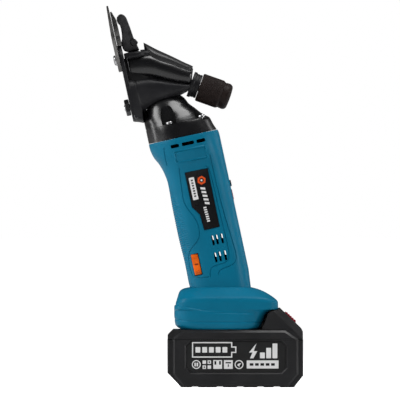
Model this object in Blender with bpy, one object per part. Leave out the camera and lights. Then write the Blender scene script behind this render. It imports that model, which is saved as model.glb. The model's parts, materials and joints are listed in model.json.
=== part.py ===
"""Cordless sheep shears standing on their sliding battery pack.

Lengths are written in millimetres and turned into metres when a mesh is made.
The world origin is the middle of the pack's base, with +Z up. The handpiece leans,
so it has a frame of its own: its z runs along the handpiece towards the comb, its x
runs across it towards the tension knob, and its y is the world's y.
"""
from math import copysign, cos, pi, radians, sin

import bmesh
import bpy
from mathutils import Vector

MM = 0.001
GAP = 0.3                    # clearance between neighbouring pieces
WALL = 2.6                   # moulded wall of the housing

# The handpiece's frame
TILT = radians(12.2)
TOOL_ORIGIN = Vector((-44.85, 0.0, 216.25))

# Housing: (z, left x, right x, half depth, squareness) in the handpiece's frame
GRIP_SECTIONS = (
    (-0.4, -30.8, 30.6, 30.4, 2.3),
    (-6.0, -30.4, 31.0, 31.0, 2.3),
    (-12.0, -29.0, 31.0, 30.6, 2.4),
    (-20.0, -25.2, 31.0, 28.6, 2.5),
    (-28.0, -22.8, 31.0, 26.4, 2.6),
    (-37.0, -21.6, 31.0, 25.0, 2.7),
    (-60.0, -22.3, 31.0, 24.4, 2.7),
    (-85.0, -22.5, 31.0, 24.2, 2.7),
    (-108.0, -21.9, 31.0, 24.6, 2.7),
    (-124.0, -22.2, 31.0, 25.6, 2.7),
)
# The foot's sections lie level: (z, left x, right x, half depth, squareness)
FOOT_SECTIONS = (
    (86.0, -39.2, 14.2, 27.0, 2.8),
    (83.6, -44.8, 20.5, 30.5, 3.0),
    (80.0, -48.6, 28.8, 33.5, 3.4),
    (76.0, -50.5, 34.2, 35.6, 3.8),
    (72.8, -52.3, 37.0, 36.6, 4.2),
    (67.2, -52.7, 37.1, 37.0, 4.4),
    (66.0, -52.7, 31.2, 37.0, 4.4),
    (63.6, -52.7, 28.2, 37.0, 4.4),
    (54.0, -51.6, 24.0, 36.4, 4.4),
    (49.9, -47.8, 22.4, 35.0, 4.4),
)
ARCH_STEPS = 12

# Drive train, in the handpiece's frame
MOTOR_X = 4.75
CRANK_X = -10.0
PINION_TEETH = 9
WHEEL_TEETH = 45
CRANK_THROW = 2.0
ROLLER_RADIUS = 2.5
PIVOT_Z = 34.5
BED_X = -39.5                # the comb's bed

# Tension: the axis starts on the fork's back and runs to the knob
TENSION_FOOT = Vector((-23.0, 0.0, 67.0))
TENSION_AXIS = Vector((0.851, 0.0, -0.525)).normalized()
KNOB_START = 53.6

# Comb and cutter
COMB_TEETH = 13
COMB_PITCH = 5.9
COMB_ROOT_Z = 94.0
COMB_TIP_Z = 125.2
CUTTER_POINTS = 4
CUTTER_PITCH = 18.0
CUTTER_THICKNESS = 3.9
CUTTER_TIP_THICKNESS = 1.5
CUTTER_STEP_Z = 112.0

# Pack, in the world's frame
PACK_HALF = 36.2             # half width of the pack's ends
PANEL_HALF = 38.0            # half width over its side panels
PACK_SPLIT = 41.0            # height of the lower case's rim
PACK_TOP = 49.5
CELL_RADIUS = 9.2
CELL_LENGTH = 65.0
CELL_PITCH = 18.9
CELL_COUNT = 5
BUTTON_NORMAL = Vector((0.686, 0.0, 0.728)).normalized()

MATERIALS = {
    "teal_plastic": ((0.010, 0.180, 0.290), 0.38, 0.0),
    "orange_plastic": ((0.850, 0.170, 0.010), 0.40, 0.0),
    "black_plastic": ((0.016, 0.016, 0.018), 0.50, 0.0),
    "red_plastic": ((0.420, 0.015, 0.035), 0.40, 0.0),
    "label_film": ((0.010, 0.010, 0.011), 0.30, 0.0),
    "gloss_casting": ((0.008, 0.008, 0.009), 0.15, 0.0),
    "satin_casting": ((0.022, 0.022, 0.024), 0.42, 0.3),
    "knob_brown": ((0.030, 0.018, 0.015), 0.55, 0.0),
    "bright_steel": ((0.600, 0.600, 0.610), 0.28, 1.0),
    "dark_steel": ((0.120, 0.120, 0.125), 0.40, 1.0),
    "cell_wrap": ((0.020, 0.150, 0.400), 0.45, 0.0),
    "circuit_green": ((0.010, 0.120, 0.050), 0.50, 0.0),
    "brass": ((0.600, 0.400, 0.120), 0.30, 1.0),
}


def clear_scene():
    """Empty the file of its default objects."""
    for item in list(bpy.data.objects):
        bpy.data.objects.remove(item, do_unlink=True)


def material(name):
    """The named Principled material, made on first use."""
    found = bpy.data.materials.get(name)
    if found:
        return found
    colour, roughness, metallic = MATERIALS[name]
    made = bpy.data.materials.new(name)
    made.use_nodes = True
    shader = made.node_tree.nodes["Principled BSDF"]
    shader.inputs["Base Color"].default_value = (*colour, 1.0)
    shader.inputs["Roughness"].default_value = roughness
    shader.inputs["Metallic"].default_value = metallic
    return made


def make_object(name, bm, material_name, parent=None, smooth=True):
    """Turn a bmesh in millimetres into a named object in metres."""
    bmesh.ops.recalc_face_normals(bm, faces=bm.faces)
    bmesh.ops.scale(bm, vec=(MM, MM, MM), verts=bm.verts)
    mesh = bpy.data.meshes.new(name)
    bm.to_mesh(mesh)
    bm.free()
    if smooth:
        mesh.shade_smooth()
        mesh.set_sharp_from_angle(angle=radians(35))
    mesh.materials.append(material(material_name))
    item = bpy.data.objects.new(name, mesh)
    bpy.context.collection.objects.link(item)
    item.parent = parent
    return item


def make_empty(name, location, parent=None):
    """An axis that pieces hang on."""
    item = bpy.data.objects.new(name, None)
    bpy.context.collection.objects.link(item)
    item.location = location * MM
    item.parent = parent
    return item


def boolean(item, other, operation="DIFFERENCE"):
    """Cut, join or intersect item with other, which is only a guide."""
    step = item.modifiers.new(operation.title(), "BOOLEAN")
    step.operation = operation
    step.solver = "EXACT"
    step.object = other
    other.hide_render = True
    other.display_type = "WIRE"


def bevel(item, width, segments=2, angle=40):
    """Round the edges of a piece that are sharper than the angle."""
    step = item.modifiers.new("Bevel", "BEVEL")
    step.width = width * MM
    step.segments = segments
    step.limit_method = "ANGLE"
    step.angle_limit = radians(angle)


def aim(item, start, direction):
    """Stand a turned piece at start, with its axis along direction."""
    item.location = Vector(start) * MM
    item.rotation_mode = "QUATERNION"
    item.rotation_quaternion = Vector((0, 0, 1)).rotation_difference(Vector(direction))


def join_rows(bm, first, second):
    """Faces between two closed rows of vertices."""
    count = len(first)
    for index in range(count):
        after = (index + 1) % count
        bm.faces.new((first[index], first[after], second[after], second[index]))


def loft(loops):
    """A closed solid through a series of closed loops."""
    bm = bmesh.new()
    rows = [[bm.verts.new(point) for point in loop] for loop in loops]
    for first, second in zip(rows, rows[1:]):
        join_rows(bm, first, second)
    bm.faces.new(rows[0])
    bm.faces.new(rows[-1][::-1])
    return bm


def prism(outline, low, high, grow_bm=None):
    """An (x, z) outline extruded along y from low to high."""
    bm = grow_bm or bmesh.new()
    near = [bm.verts.new((x, low, z)) for x, z in outline]
    far = [bm.verts.new((x, high, z)) for x, z in outline]
    join_rows(bm, near, far)
    bm.faces.new(near)
    bm.faces.new(far[::-1])
    return bm


def box(low, high, grow_bm=None):
    """A block between two corners."""
    outline = ((low[0], low[2]), (high[0], low[2]), (high[0], high[2]), (low[0], high[2]))
    return prism(outline, low[1], high[1], grow_bm)


def turned(profile, count=24, bored=False):
    """A (radius, z) profile turned about z; a bored one is a ring round its hole."""
    bm = bmesh.new()
    rows = []
    for radius, height in profile:
        angles = [2 * pi * index / count for index in range(count)]
        rows.append([bm.verts.new((radius * cos(a), radius * sin(a), height)) for a in angles])
    for first, second in zip(rows, rows[1:]):
        join_rows(bm, first, second)
    if bored:
        join_rows(bm, rows[-1], rows[0])
    else:
        bm.faces.new(rows[0])
        bm.faces.new(rows[-1][::-1])
    return bm


def extrude_up(outline, low, high):
    """An (x, y) outline extruded along z."""
    return loft([[(x, y, z) for x, y in outline] for z in (low, high)])


def tool_point(z, x):
    """World (x, z) of a point given in the handpiece's frame."""
    world_x = TOOL_ORIGIN.x - z * sin(TILT) + x * cos(TILT)
    world_z = TOOL_ORIGIN.z + z * cos(TILT) + x * sin(TILT)
    return (world_x, world_z)


def arch(left, right, depth, power, side, inset=0.0):
    """Half of a rounded section, from its left edge round to its right one."""
    start = Vector((left[0], 0, left[1]))
    end = Vector((right[0], 0, right[1]))
    along = (end - start).normalized()
    centre = (start + end) / 2
    reach = (end - start).length / 2 - inset
    points = []
    for index in range(ARCH_STEPS + 1):
        angle = pi - pi * index / ARCH_STEPS
        across = reach * copysign(abs(cos(angle)) ** (2 / power), cos(angle))
        out = (depth - inset) * abs(sin(angle)) ** (2 / power)
        points.append(centre + along * across + Vector((0, side * max(out, GAP / 2), 0)))
    return points


def oval(left, right, depth, power, grow=0.0, count=24, flare=0.0):
    """A whole rounded section between two (x, z) edge points; flare widens its far end."""
    start = Vector((left[0], 0, left[1]))
    end = Vector((right[0], 0, right[1]))
    along = (end - start).normalized()
    centre = (start + end) / 2
    reach = (end - start).length / 2 + grow
    points = []
    for index in range(count):
        angle = 2 * pi * index / count
        across = copysign(abs(cos(angle)) ** (2 / power), cos(angle))
        out = copysign(abs(sin(angle)) ** (2 / power), sin(angle))
        width = (depth + grow) * (1 + flare * across)
        points.append(centre + along * across * reach + Vector((0, width * out, 0)))
    return points


def housing_sections():
    """Every section of the housing from the collar to the foot, in the world's frame."""
    sections = []
    for z, left, right, depth, power in GRIP_SECTIONS:
        sections.append((tool_point(z, left), tool_point(z, right), depth, power))
    for z, left, right, depth, power in FOOT_SECTIONS:
        sections.append(((left, z), (right, z), depth, power))
    return sections


def shell_half(side):
    """One moulded half of the housing: an outer and an inner skin joined round the rim."""
    bm = bmesh.new()
    outer = []
    inner = []
    for left, right, depth, power in housing_sections():
        outer.append([bm.verts.new(p) for p in arch(left, right, depth, power, side)])
        inner.append([bm.verts.new(p) for p in arch(left, right, depth, power, side, WALL)])
    for index in range(len(outer) - 1):
        for step in range(ARCH_STEPS):
            for rows in (outer, inner):
                corners = (rows[index][step], rows[index][step + 1],
                           rows[index + 1][step + 1], rows[index + 1][step])
                bm.faces.new(corners)
        for step in (0, ARCH_STEPS):
            corners = (outer[index][step], inner[index][step],
                       inner[index + 1][step], outer[index + 1][step])
            bm.faces.new(corners)
    for index in (0, len(outer) - 1):
        for step in range(ARCH_STEPS):
            corners = (outer[index][step], outer[index][step + 1],
                       inner[index][step + 1], inner[index][step])
            bm.faces.new(corners)
    return bm


# ---- Housing -------------------------------------------------------------------------

GRIP_SCREWS = ((-13.5, -79.0, 15.5), (22.5, -79.0, 16.0), (21.0, -122.0, 18.5))     # (x, z, boss height)
FOOT_SCREWS = ((-41.0, 66.0, 33.0), (24.5, 73.0, 30.5))           # the same, in the world's frame
GRIP_SCREW_SEAT = 8.5
FOOT_SCREW_SEAT = 20.0
BOSS_RADIUS = 4.0
BORE_STEPS = 12
ROCKER_PLACE = (-12.2, -19.0, -110.6)
BUTTON_Z = -48.0
LIGHT_Z = -58.0
LABEL_OUTLINE = ((-5.2, -31.2), (14.6, -31.5), (14.2, -82.7), (0.8, -82.9), (-0.1, -69.0), (-5.5, -61.2))
LABEL_FLOOR = 23.0


def screw_places():
    """World (x, z), seat depth and boss height of each housing screw."""
    grip = [(tool_point(z, x), GRIP_SCREW_SEAT, height) for x, z, height in GRIP_SCREWS]
    foot = [((x, z), FOOT_SCREW_SEAT, height) for x, z, height in FOOT_SCREWS]
    return grip + foot


def boss_guides(side):
    """The round posts inside a shell that its screws pass through."""
    bm = bmesh.new()
    for (x, z), _, height in screw_places():
        outline = [(x + BOSS_RADIUS * cos(2 * pi * k / 12), z + BOSS_RADIUS * sin(2 * pi * k / 12))
                   for k in range(12)]
        ends = sorted((side * GAP / 2, side * height))
        prism(outline, ends[0], ends[1], bm)
    return bm


def screw_bores(radius, side, depths):
    """A round bore at each housing screw; depths gives its two ends from the screw's seat depth."""
    bm = bmesh.new()
    for (x, z), seat, _ in screw_places():
        low, high = depths(seat)
        angles = [2 * pi * (k + 0.5) / BORE_STEPS for k in range(BORE_STEPS)]
        outline = [(x + radius * cos(angle), z + radius * sin(angle)) for angle in angles]
        prism(outline, low, high, bm)
    return make_object(f"screw_bore_guide_{side}_{radius}", bm, "teal_plastic")


def screw_guides(side):
    """Clearance holes and head recesses in the far shell, pilot holes in the near one."""
    if side < 0:
        return [screw_bores(1.5, side, lambda seat: (-11.5, 1.0))]
    shanks = screw_bores(1.7, side, lambda seat: (-1.0, seat + 1.0))
    heads = screw_bores(3.6, side, lambda seat: (seat, 45.0))
    return [shanks, heads]


TOP_SLOTS = ((-12.4, -5.3), (-2.6, 8.0), (10.3, 17.8))            # (low x, high x)
SIDE_SLOTS = ((-97.5, (6.1, 9.7, 14.1)), (-112.3, (5.2, 9.1, 13.8)))     # (low z, middle x of each)
SLOT_HALF = 0.9
SLOT_LENGTH = 8.5
FAR_SHIFT = (1.0, 4.4)           # the far shell's side slots sit off to one side and higher


def vent_guides(side):
    """Slots through one shell, in the handpiece's frame."""
    bm = bmesh.new()
    ends = sorted((side * 3, side * 45))
    for low, high in TOP_SLOTS:
        box((low, ends[0], -8.3), (high, ends[1], -5.3), bm)
    shift_x, shift_z = FAR_SHIFT if side > 0 else (0.0, 0.0)
    for bottom, centres in SIDE_SLOTS:
        for centre in centres:
            low = (centre + shift_x - SLOT_HALF, ends[0], bottom + shift_z)
            high = (centre + shift_x + SLOT_HALF, ends[1], bottom + shift_z + SLOT_LENGTH)
            box(low, high, bm)
    return bm


def edge_windows():
    """Openings on the seam for the speed button and its light."""
    bm = box((27.5, -3.4, BUTTON_Z - 3.2), (36.0, 3.4, BUTTON_Z + 3.2))
    return box((29.8, -2.6, LIGHT_Z - 4.8), (36.0, 2.6, LIGHT_Z + 4.8), bm)


def make_housing(tool):
    """The two clamshell halves with their openings."""
    rail_way = make_object("rail_way_guide", box((12, -25, 48), (45, 25, 58.2)), "teal_plastic")
    tongue_way = make_object("tongue_way_guide", box((18, -14.2, 55), (45, 14.2, 63.0)), "teal_plastic")
    windows = make_object("window_guide", edge_windows(), "teal_plastic", tool, smooth=False)
    for name, side in (("left_housing", -1), ("right_housing", 1)):
        shell = make_object(name, shell_half(side), "teal_plastic")
        bosses = make_object(name + "_boss_guide", boss_guides(side), "teal_plastic")
        boolean(shell, bosses, "UNION")
        vents = make_object(name + "_vent_guide", vent_guides(side), "teal_plastic", tool, smooth=False)
        for guide in (*screw_guides(side), vents, windows, rail_way, tongue_way):
            boolean(shell, guide)
        if side < 0:
            x, y, z = ROCKER_PLACE
            rocker = box((x - 3.6, -45, z - 9.7), (x + 3.6, y + 5, z + 9.7))
            boolean(shell, make_object("rocker_guide", rocker, "teal_plastic", tool, smooth=False))
            recess = prism(grown_outline(LABEL_OUTLINE, 0.35), -45, -LABEL_FLOOR)
            boolean(shell, make_object("recess_guide", recess, "teal_plastic", tool, smooth=False))


def grown_outline(outline, amount):
    """A convex outline grown from its middle by about the amount, or shrunk by a negative one."""
    middle_x = sum(x for x, z in outline) / len(outline)
    middle_z = sum(z for x, z in outline) / len(outline)
    grown = []
    for x, z in outline:
        grown.append((x + amount * copysign(1, x - middle_x), z + amount * copysign(1, z - middle_z)))
    return grown


def make_label(tool):
    """The label plate, which follows the grip's curve."""
    plate = make_object("label_plate", prism(LABEL_OUTLINE, -40, -LABEL_FLOOR - GAP), "label_film", tool)
    loops = []
    for z, left, right, depth, power in GRIP_SECTIONS[4:9]:
        loops.append(oval((left, z), (right, z), depth, power, grow=0.5, count=48))
    skin = make_object("label_skin_guide", loft(loops), "label_film", tool)
    boolean(plate, skin, "INTERSECT")


def make_screw(name, start, direction, head_radius, head_height, shank_radius, length, parent=None):
    """A pan-head screw: start is under its head, direction points from tip to head."""
    profile = ((0.4, -length), (shank_radius, -length + 1.2), (shank_radius, 0.0), (head_radius, 0.0),
               (head_radius, head_height * 0.6), (head_radius * 0.6, head_height))
    item = make_object(name, turned(profile, 10), "bright_steel", parent)
    aim(item, start, direction)
    return item


def make_housing_screws():
    """Five screws driven in from the far side."""
    for number, ((x, z), seat, _) in enumerate(screw_places(), 1):
        make_screw(f"housing_screw_{number}", (x, seat + GAP, z), (0, 1, 0), 3.1, 2.2, 1.3, seat + 8, None)


def make_power_switch(tool):
    """The rocker on its hinge, with the switch body behind it."""
    axis = make_empty("rocker_axis", Vector(ROCKER_PLACE), tool)
    face = ((-9.2, -2.6), (-6.0, -3.6), (0.0, -3.1), (6.0, -3.6), (9.2, -2.6),
            (6.5, 1.2), (0.0, 2.4), (-6.5, 1.2))
    bm = loft([[(x, y, z) for z, y in face] for x in (-3.0, 3.0)])
    rocker = make_object("power_rocker", bm, "orange_plastic", axis)
    rocker.rotation_euler = (radians(-5), 0, 0)
    x, y, z = ROCKER_PLACE
    block = box((x - 3.2, y + 5.6, z - 10.5), (x + 5, -1.0, z + 10.5))
    body = make_object("switch_body", block, "black_plastic", tool)
    bevel(body, 0.5, 1)


def make_edge_controls(tool):
    """The speed button and its light on the seam."""
    axis = make_empty("speed_button_axis", Vector((31.0, 0, BUTTON_Z)), tool)
    button = make_object("speed_button", box((-2.2, -3.0, -2.8), (1.0, 3.0, 2.8)), "black_plastic", axis)
    bevel(button, 0.5, 2)
    light = box((30.1, -2.3, LIGHT_Z - 4.5), (31.4, 2.3, LIGHT_Z + 4.5))
    bevel(make_object("indicator_light", light, "red_plastic", tool), 0.3, 1)


# ---- Motor and gears -----------------------------------------------------------------


def make_motor(tool):
    """Motor can, end bell and bearings, on the motor's own axis."""
    axis = make_empty("motor_axis", Vector((MOTOR_X, 0, 0)), tool)
    can = ((21.1, -69.0), (21.1, -17.0), (19.5, -14.5), (6.4, -14.5), (6.4, -16.5), (18.7, -16.9),
           (19.0, -69.0))
    make_object("motor_can", turned(can, 24, True), "dark_steel", axis)
    bell = ((21.0, -69.4), (19.0, -74.0), (6.4, -74.0), (6.4, -70.2), (18.4, -69.4))
    make_object("motor_end_bell", turned(bell, 24, True), "black_plastic", axis)
    ring = ((6.0, 0.0), (6.0, 3.6), (2.85, 3.6), (2.85, 0.0))
    for name, height in (("front_bearing", -18.2), ("rear_bearing", -73.9)):
        bearing = make_object(name, turned(ring, 20, True), "bright_steel", axis)
        bearing.location = Vector((0, 0, height)) * MM
    return axis


def gear_outline(teeth, pitch_radius, turn=0.0):
    """A toothed outline with blunt, straight-sided teeth that leave each other room."""
    module = 2 * pitch_radius / teeth
    tip = pitch_radius + 0.75 * module
    root = pitch_radius - 1.05 * module
    step = 2 * pi / teeth
    points = []
    for tooth in range(teeth):
        for radius, offset in ((root, -0.28), (tip, -0.11), (tip, 0.11), (root, 0.28)):
            angle = turn + (tooth + offset) * step
            points.append((radius * cos(angle), radius * sin(angle)))
    return points


def cut_bore(item, radius, low, high, parent):
    """Bore a hole along the piece's own z."""
    profile = ((radius, low), (radius, high))
    bore = make_object(item.name + "_bore_guide", turned(profile, 20), "dark_steel", parent)
    boolean(item, bore)


def make_rotor(motor_axis):
    """Everything that turns with the motor."""
    profile = ((2.5, -75.0), (2.5, 2.5), (1.35, 2.5), (1.35, 10.0))
    make_object("rotor_shaft", turned(profile, 16), "bright_steel", motor_axis)
    core = ((17.6, -62.0), (17.6, -24.0), (2.7, -24.0), (2.7, -62.0))
    make_object("armature", turned(core, 20, True), "dark_steel", motor_axis)
    blades = []
    blade_count = 11
    for blade in range(blade_count):
        for radius, offset in ((7.0, 0.0), (22.6, 0.12), (22.6, 0.24), (7.0, 0.5)):
            angle = 2 * pi * (blade + offset) / blade_count
            blades.append((radius * cos(angle), radius * sin(angle)))
    fan = make_object("cooling_fan", extrude_up(blades, -12.0, -5.2), "black_plastic", motor_axis)
    cut_bore(fan, 2.7, -13, -4, motor_axis)
    pitch_radius = (MOTOR_X - CRANK_X) * PINION_TEETH / (PINION_TEETH + WHEEL_TEETH)
    outline = gear_outline(PINION_TEETH, pitch_radius, pi)
    teeth = extrude_up(outline, 3.0, 9.6)
    pinion = make_object("drive_pinion", teeth, "bright_steel", motor_axis, smooth=False)
    cut_bore(pinion, 1.5, 2, 11, motor_axis)


def make_crank(tool):
    """The driven wheel, the crank that it turns and the crank's roller."""
    axis = make_empty("crank_axis", Vector((CRANK_X, 0, 0)), tool)
    pitch_radius = (MOTOR_X - CRANK_X) * WHEEL_TEETH / (PINION_TEETH + WHEEL_TEETH)
    half_tooth = pi / WHEEL_TEETH
    outline = gear_outline(WHEEL_TEETH, pitch_radius, half_tooth)
    wheel = make_object("driven_wheel", extrude_up(outline, 3.4, 9.2), "dark_steel", axis, smooth=False)
    cut_bore(wheel, 3.3, 2, 11, axis)
    shaft_profile = ((3.0, -3.8), (3.0, 10.5), (8.0, 10.5), (8.0, 13.5), (3.0, 13.5))
    shaft = make_object("crank_shaft", turned(shaft_profile, 20), "bright_steel", axis)
    pin = make_object("crank_pin_guide", turned(((1.4, 12.5), (1.4, 21.4)), 14), "bright_steel", axis)
    pin.location = Vector((CRANK_THROW, 0, 0)) * MM
    boolean(shaft, pin, "UNION")
    ring = ((ROLLER_RADIUS, 14.0), (ROLLER_RADIUS, 20.8), (1.7, 20.8), (1.7, 14.0))
    roller = make_object("crank_roller", turned(ring, 18, True), "bright_steel", axis)
    roller.location = Vector((CRANK_THROW, 0, 0)) * MM
    bearing = ((7.0, -3.8), (7.0, -0.9), (3.3, -0.9), (3.3, -3.8))
    make_object("crank_bearing", turned(bearing, 20, True), "bright_steel", axis)


# ---- Gear housing --------------------------------------------------------------------

CASE_SECTIONS = (                # (z, left x, right x, half depth, squareness)
    (0.0, -30.5, 29.6, 30.0, 2.3),
    (5.1, -30.5, 27.6, 29.4, 2.3),
    (11.8, -30.5, 25.4, 28.2, 2.3),
    (14.2, -30.5, 22.2, 26.6, 2.3),
    (17.7, -30.5, 18.6, 24.6, 2.2),
    (22.0, -30.4, 15.1, 22.6, 2.2),
    (27.6, -30.2, 10.3, 19.8, 2.1),
    (32.0, -29.3, 8.2, 17.0, 2.1),
    (35.5, -27.1, 5.2, 13.8, 2.0),
    (38.3, -23.8, 1.0, 10.2, 2.0),
    (40.2, -19.3, -5.0, 6.0, 2.0),
    (40.7, -16.0, -9.0, 3.0, 2.0),
)
CAVITY_SECTIONS = (              # the hollow over the wheel and the crank, in the same terms
    (-1.0, -26.5, 24.0, 15.5, 2.3),
    (10.0, -26.5, 23.0, 15.5, 2.3),
    (13.0, -26.5, 17.0, 15.5, 2.3),
    (20.0, -26.5, 10.0, 15.0, 2.3),
    (27.0, -26.0, 6.0, 14.5, 2.3),
    (33.0, -24.5, 3.0, 12.0, 2.2),
    (36.8, -20.0, -3.0, 7.5, 2.0),
)
CASE_SCREWS = ((-9.4, 23.6), (19.0, 17.6))     # (x, y), mirrored in y
CASE_SCREW_SEAT = 12.6
FORK_SLOT = (                    # (x, z)
    (-26.4, 22.5), (-4.0, 22.5), (-4.0, 44.0), (-34.0, 44.0), (-34.0, 32.2), (-26.4, 32.2),
)


def case_loops(grow, sections=CASE_SECTIONS):
    """The gear housing's outer sections, grown or shrunk evenly."""
    return [oval((x0, z), (x1, z), depth, power, grow) for z, x0, x1, depth, power in sections]


def case_screw_places():
    """All four (x, y) places of the gear housing's screws."""
    return [(x, side * y) for x, y in CASE_SCREWS for side in (-1, 1)]


def make_gear_housing(tool):
    """The glossy cast dome over the gears, with its four screw pockets."""
    housing = make_object("gear_housing", loft(case_loops(0.0)), "gloss_casting", tool)
    cavity = make_object("gear_cavity_guide", loft(case_loops(0.0, CAVITY_SECTIONS)), "gloss_casting", tool)
    boolean(housing, cavity)
    pockets = bmesh.new()
    for x, y in case_screw_places():
        outward = copysign(45, y)
        low, high = sorted((y - copysign(4.6, y), outward))
        side_reach = 6.0 if x < 0 else 14.0
        pocket = [(x - 6.0, CASE_SCREW_SEAT), (x + side_reach, CASE_SCREW_SEAT), (x + side_reach, 20.0)]
        if x < 0:
            pocket += [(x + 4.4, 26.0), (x, 32.5), (x - 4.4, 26.0), (x - 6.0, 20.0)]
        else:
            pocket += [(x - 6.0, 20.0)]
        prism(pocket, low, high, pockets)
    boolean(housing, make_object("pocket_guide", pockets, "gloss_casting", tool, smooth=False))
    for number, (x, y) in enumerate(case_screw_places(), 1):
        bore = turned(((1.8, -3), (1.8, 20)), 12)
        hole = make_object(f"case_hole_guide_{number}", bore, "gloss_casting", tool)
        hole.location = Vector((x, y, 0)) * MM
        boolean(housing, hole)
        place = (x, y, CASE_SCREW_SEAT + GAP)
        make_screw(f"gear_housing_screw_{number}", place, (0, 0, 1), 3.0, 2.4, 1.4, 16.4, tool)
    fork_way = prism(FORK_SLOT, -13.0, 13.0)
    boolean(housing, make_object("fork_way_guide", fork_way, "gloss_casting", tool, smooth=False))


def make_bearing_plate(tool):
    """The plate between motor and gears that carries the crank's inner bearing."""
    profile = ((27.6, -4.4), (27.6, -0.9))
    plate = make_object("bearing_plate", turned(profile, 30), "satin_casting", tool)
    for name, x, y, radius in (("crank", CRANK_X, 0, 7.3), ("motor", MOTOR_X, 0, 4.5)):
        bore = turned(((radius, -8), (radius, 4)), 20)
        hole = make_object(f"{name}_plate_guide", bore, "satin_casting", tool)
        hole.location = Vector((x, y, 0)) * MM
        boolean(plate, hole)
    for number, (x, y) in enumerate(case_screw_places(), 1):
        bore = turned(((1.7, -8), (1.7, 4)), 12)
        hole = make_object(f"plate_hole_guide_{number}", bore, "satin_casting", tool)
        hole.location = Vector((x, y, 0)) * MM
        boolean(plate, hole)


# ---- Shearing head -------------------------------------------------------------------

HEAD_SECTIONS = (                # (rear x, rear z), (front x, front z), half depth, squareness, flare
    ((BED_X, 21.8), (BED_X, 88.6), 25.0, 3.6, 0.24),
    ((-36.4, 20.8), (-36.4, 88.2), 25.0, 3.6, 0.24),
    ((-33.0, 19.5), (-33.0, 83.6), 23.0, 3.2, 0.20),
    ((-30.8, 18.6), (-30.8, 80.5), 21.5, 3.0, 0.18),
    ((-29.6, 27.0), (-29.6, 80.4), 21.2, 3.0, 0.18),
    ((-24.0, 29.0), (-24.0, 81.8), 20.0, 2.8, 0.16),
    ((-18.0, 31.0), (-17.4, 80.2), 18.5, 2.8, 0.10),
    ((-16.8, 31.2), (-16.6, 68.4), 18.0, 2.7, 0.0),
    ((-8.0, 33.0), (-8.0, 64.0), 17.2, 2.6, 0.0),
    ((1.2, 34.6), (1.2, 59.8), 16.0, 2.6, 0.0),
    ((8.0, 35.6), (9.2, 54.6), 14.6, 2.6, 0.0),
    ((10.5, 37.0), (15.4, 50.4), 13.2, 2.6, 0.0),
)
HOOD_SECTIONS = (                # (lower x, lower z), (upper x, upper z), half depth, squareness
    ((-17.0, 80.9), (-16.5, 86.7), 11.0, 2.2),
    ((-16.2, 76.0), (-13.0, 83.8), 16.0, 2.6),
    ((-15.9, 68.9), (-6.0, 78.0), 17.5, 2.8),
    ((-7.4, 64.7), (1.0, 72.3), 17.0, 2.8),
    ((1.9, 60.4), (8.0, 66.5), 15.6, 2.8),
    ((9.9, 55.1), (14.0, 61.6), 13.6, 2.8),
    ((16.2, 51.0), (20.6, 57.6), 11.5, 2.4),
)
FORK_WAY = (                     # (z, -half width)
    (24.0, -10.4), (45.0, -10.6), (60.0, -11.8), (70.0, -14.4), (76.0, -19.2), (80.0, -21.5), (96.0, -26.0),
)
COMB_SCREWS = ((-12.0, 76.5), (12.0, 76.5))


def make_head_casting(tool):
    """The casting that holds the comb, the fork and the tension pin."""
    loops = []
    for rear, front, depth, power, flare in HEAD_SECTIONS:
        loops.append(oval(rear, front, depth, power, flare=flare))
    head = make_object("head_casting", loft(loops), "satin_casting", tool)
    boolean(head, make_object("dome_guide", loft(case_loops(0.4)), "satin_casting", tool))
    outline = [(z, y) for z, y in FORK_WAY] + [(z, -y) for z, y in reversed(FORK_WAY)]
    passage = loft([[(x, y, z) for z, y in outline] for x in (-34.0, -20.6)])
    boolean(head, make_object("passage_guide", passage, "satin_casting", tool, smooth=False))
    bore = make_object("tension_bore_guide", turned(((4.3, -4.0), (4.3, 60.0)), 20), "satin_casting", tool)
    aim(bore, TENSION_FOOT, TENSION_AXIS)
    boolean(head, bore)
    post = make_object("post_bore_guide", turned(((4.4, -45), (4.4, -30)), 18), "satin_casting", tool)
    aim(post, (0, 0, PIVOT_Z), (1, 0, 0))
    boolean(head, post)
    holes = bmesh.new()
    for y, z in COMB_SCREWS:
        outline = [(y + 2.0 * cos(2 * pi * k / 12), z + 2.0 * sin(2 * pi * k / 12)) for k in range(12)]
        bottom = [holes.verts.new((-41.0, a, b)) for a, b in outline]
        top = [holes.verts.new((-35.2, a, b)) for a, b in outline]
        join_rows(holes, bottom, top)
        holes.faces.new(bottom)
        holes.faces.new(top[::-1])
    boolean(head, make_object("comb_hole_guide", holes, "satin_casting", tool, smooth=False))


def make_hood(tool):
    """The cover along the head's sloping front."""
    loops = [oval(lower, upper, depth, power) for lower, upper, depth, power in HOOD_SECTIONS]
    make_object("hood_cover", loft(loops), "gloss_casting", tool)


def make_pivot(tool):
    """The fulcrum post, which the fork rocks on, and the nut that locks it."""
    profile = ((2.9, -43.2), (2.9, -39.2), (4.0, -39.0), (4.0, -31.4), (2.4, -30.4))
    post = make_object("pivot_post", turned(profile, 18), "bright_steel", tool)
    aim(post, (0, 0, PIVOT_Z), (1, 0, 0))
    nut_profile = ((7.0, -43.6), (7.0, -39.8), (3.6, -39.8), (3.6, -43.6))
    nut = make_object("pivot_nut", turned(nut_profile, 6, True), "dark_steel", tool, smooth=False)
    aim(nut, (0, 0, PIVOT_Z), (1, 0, 0))


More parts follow.
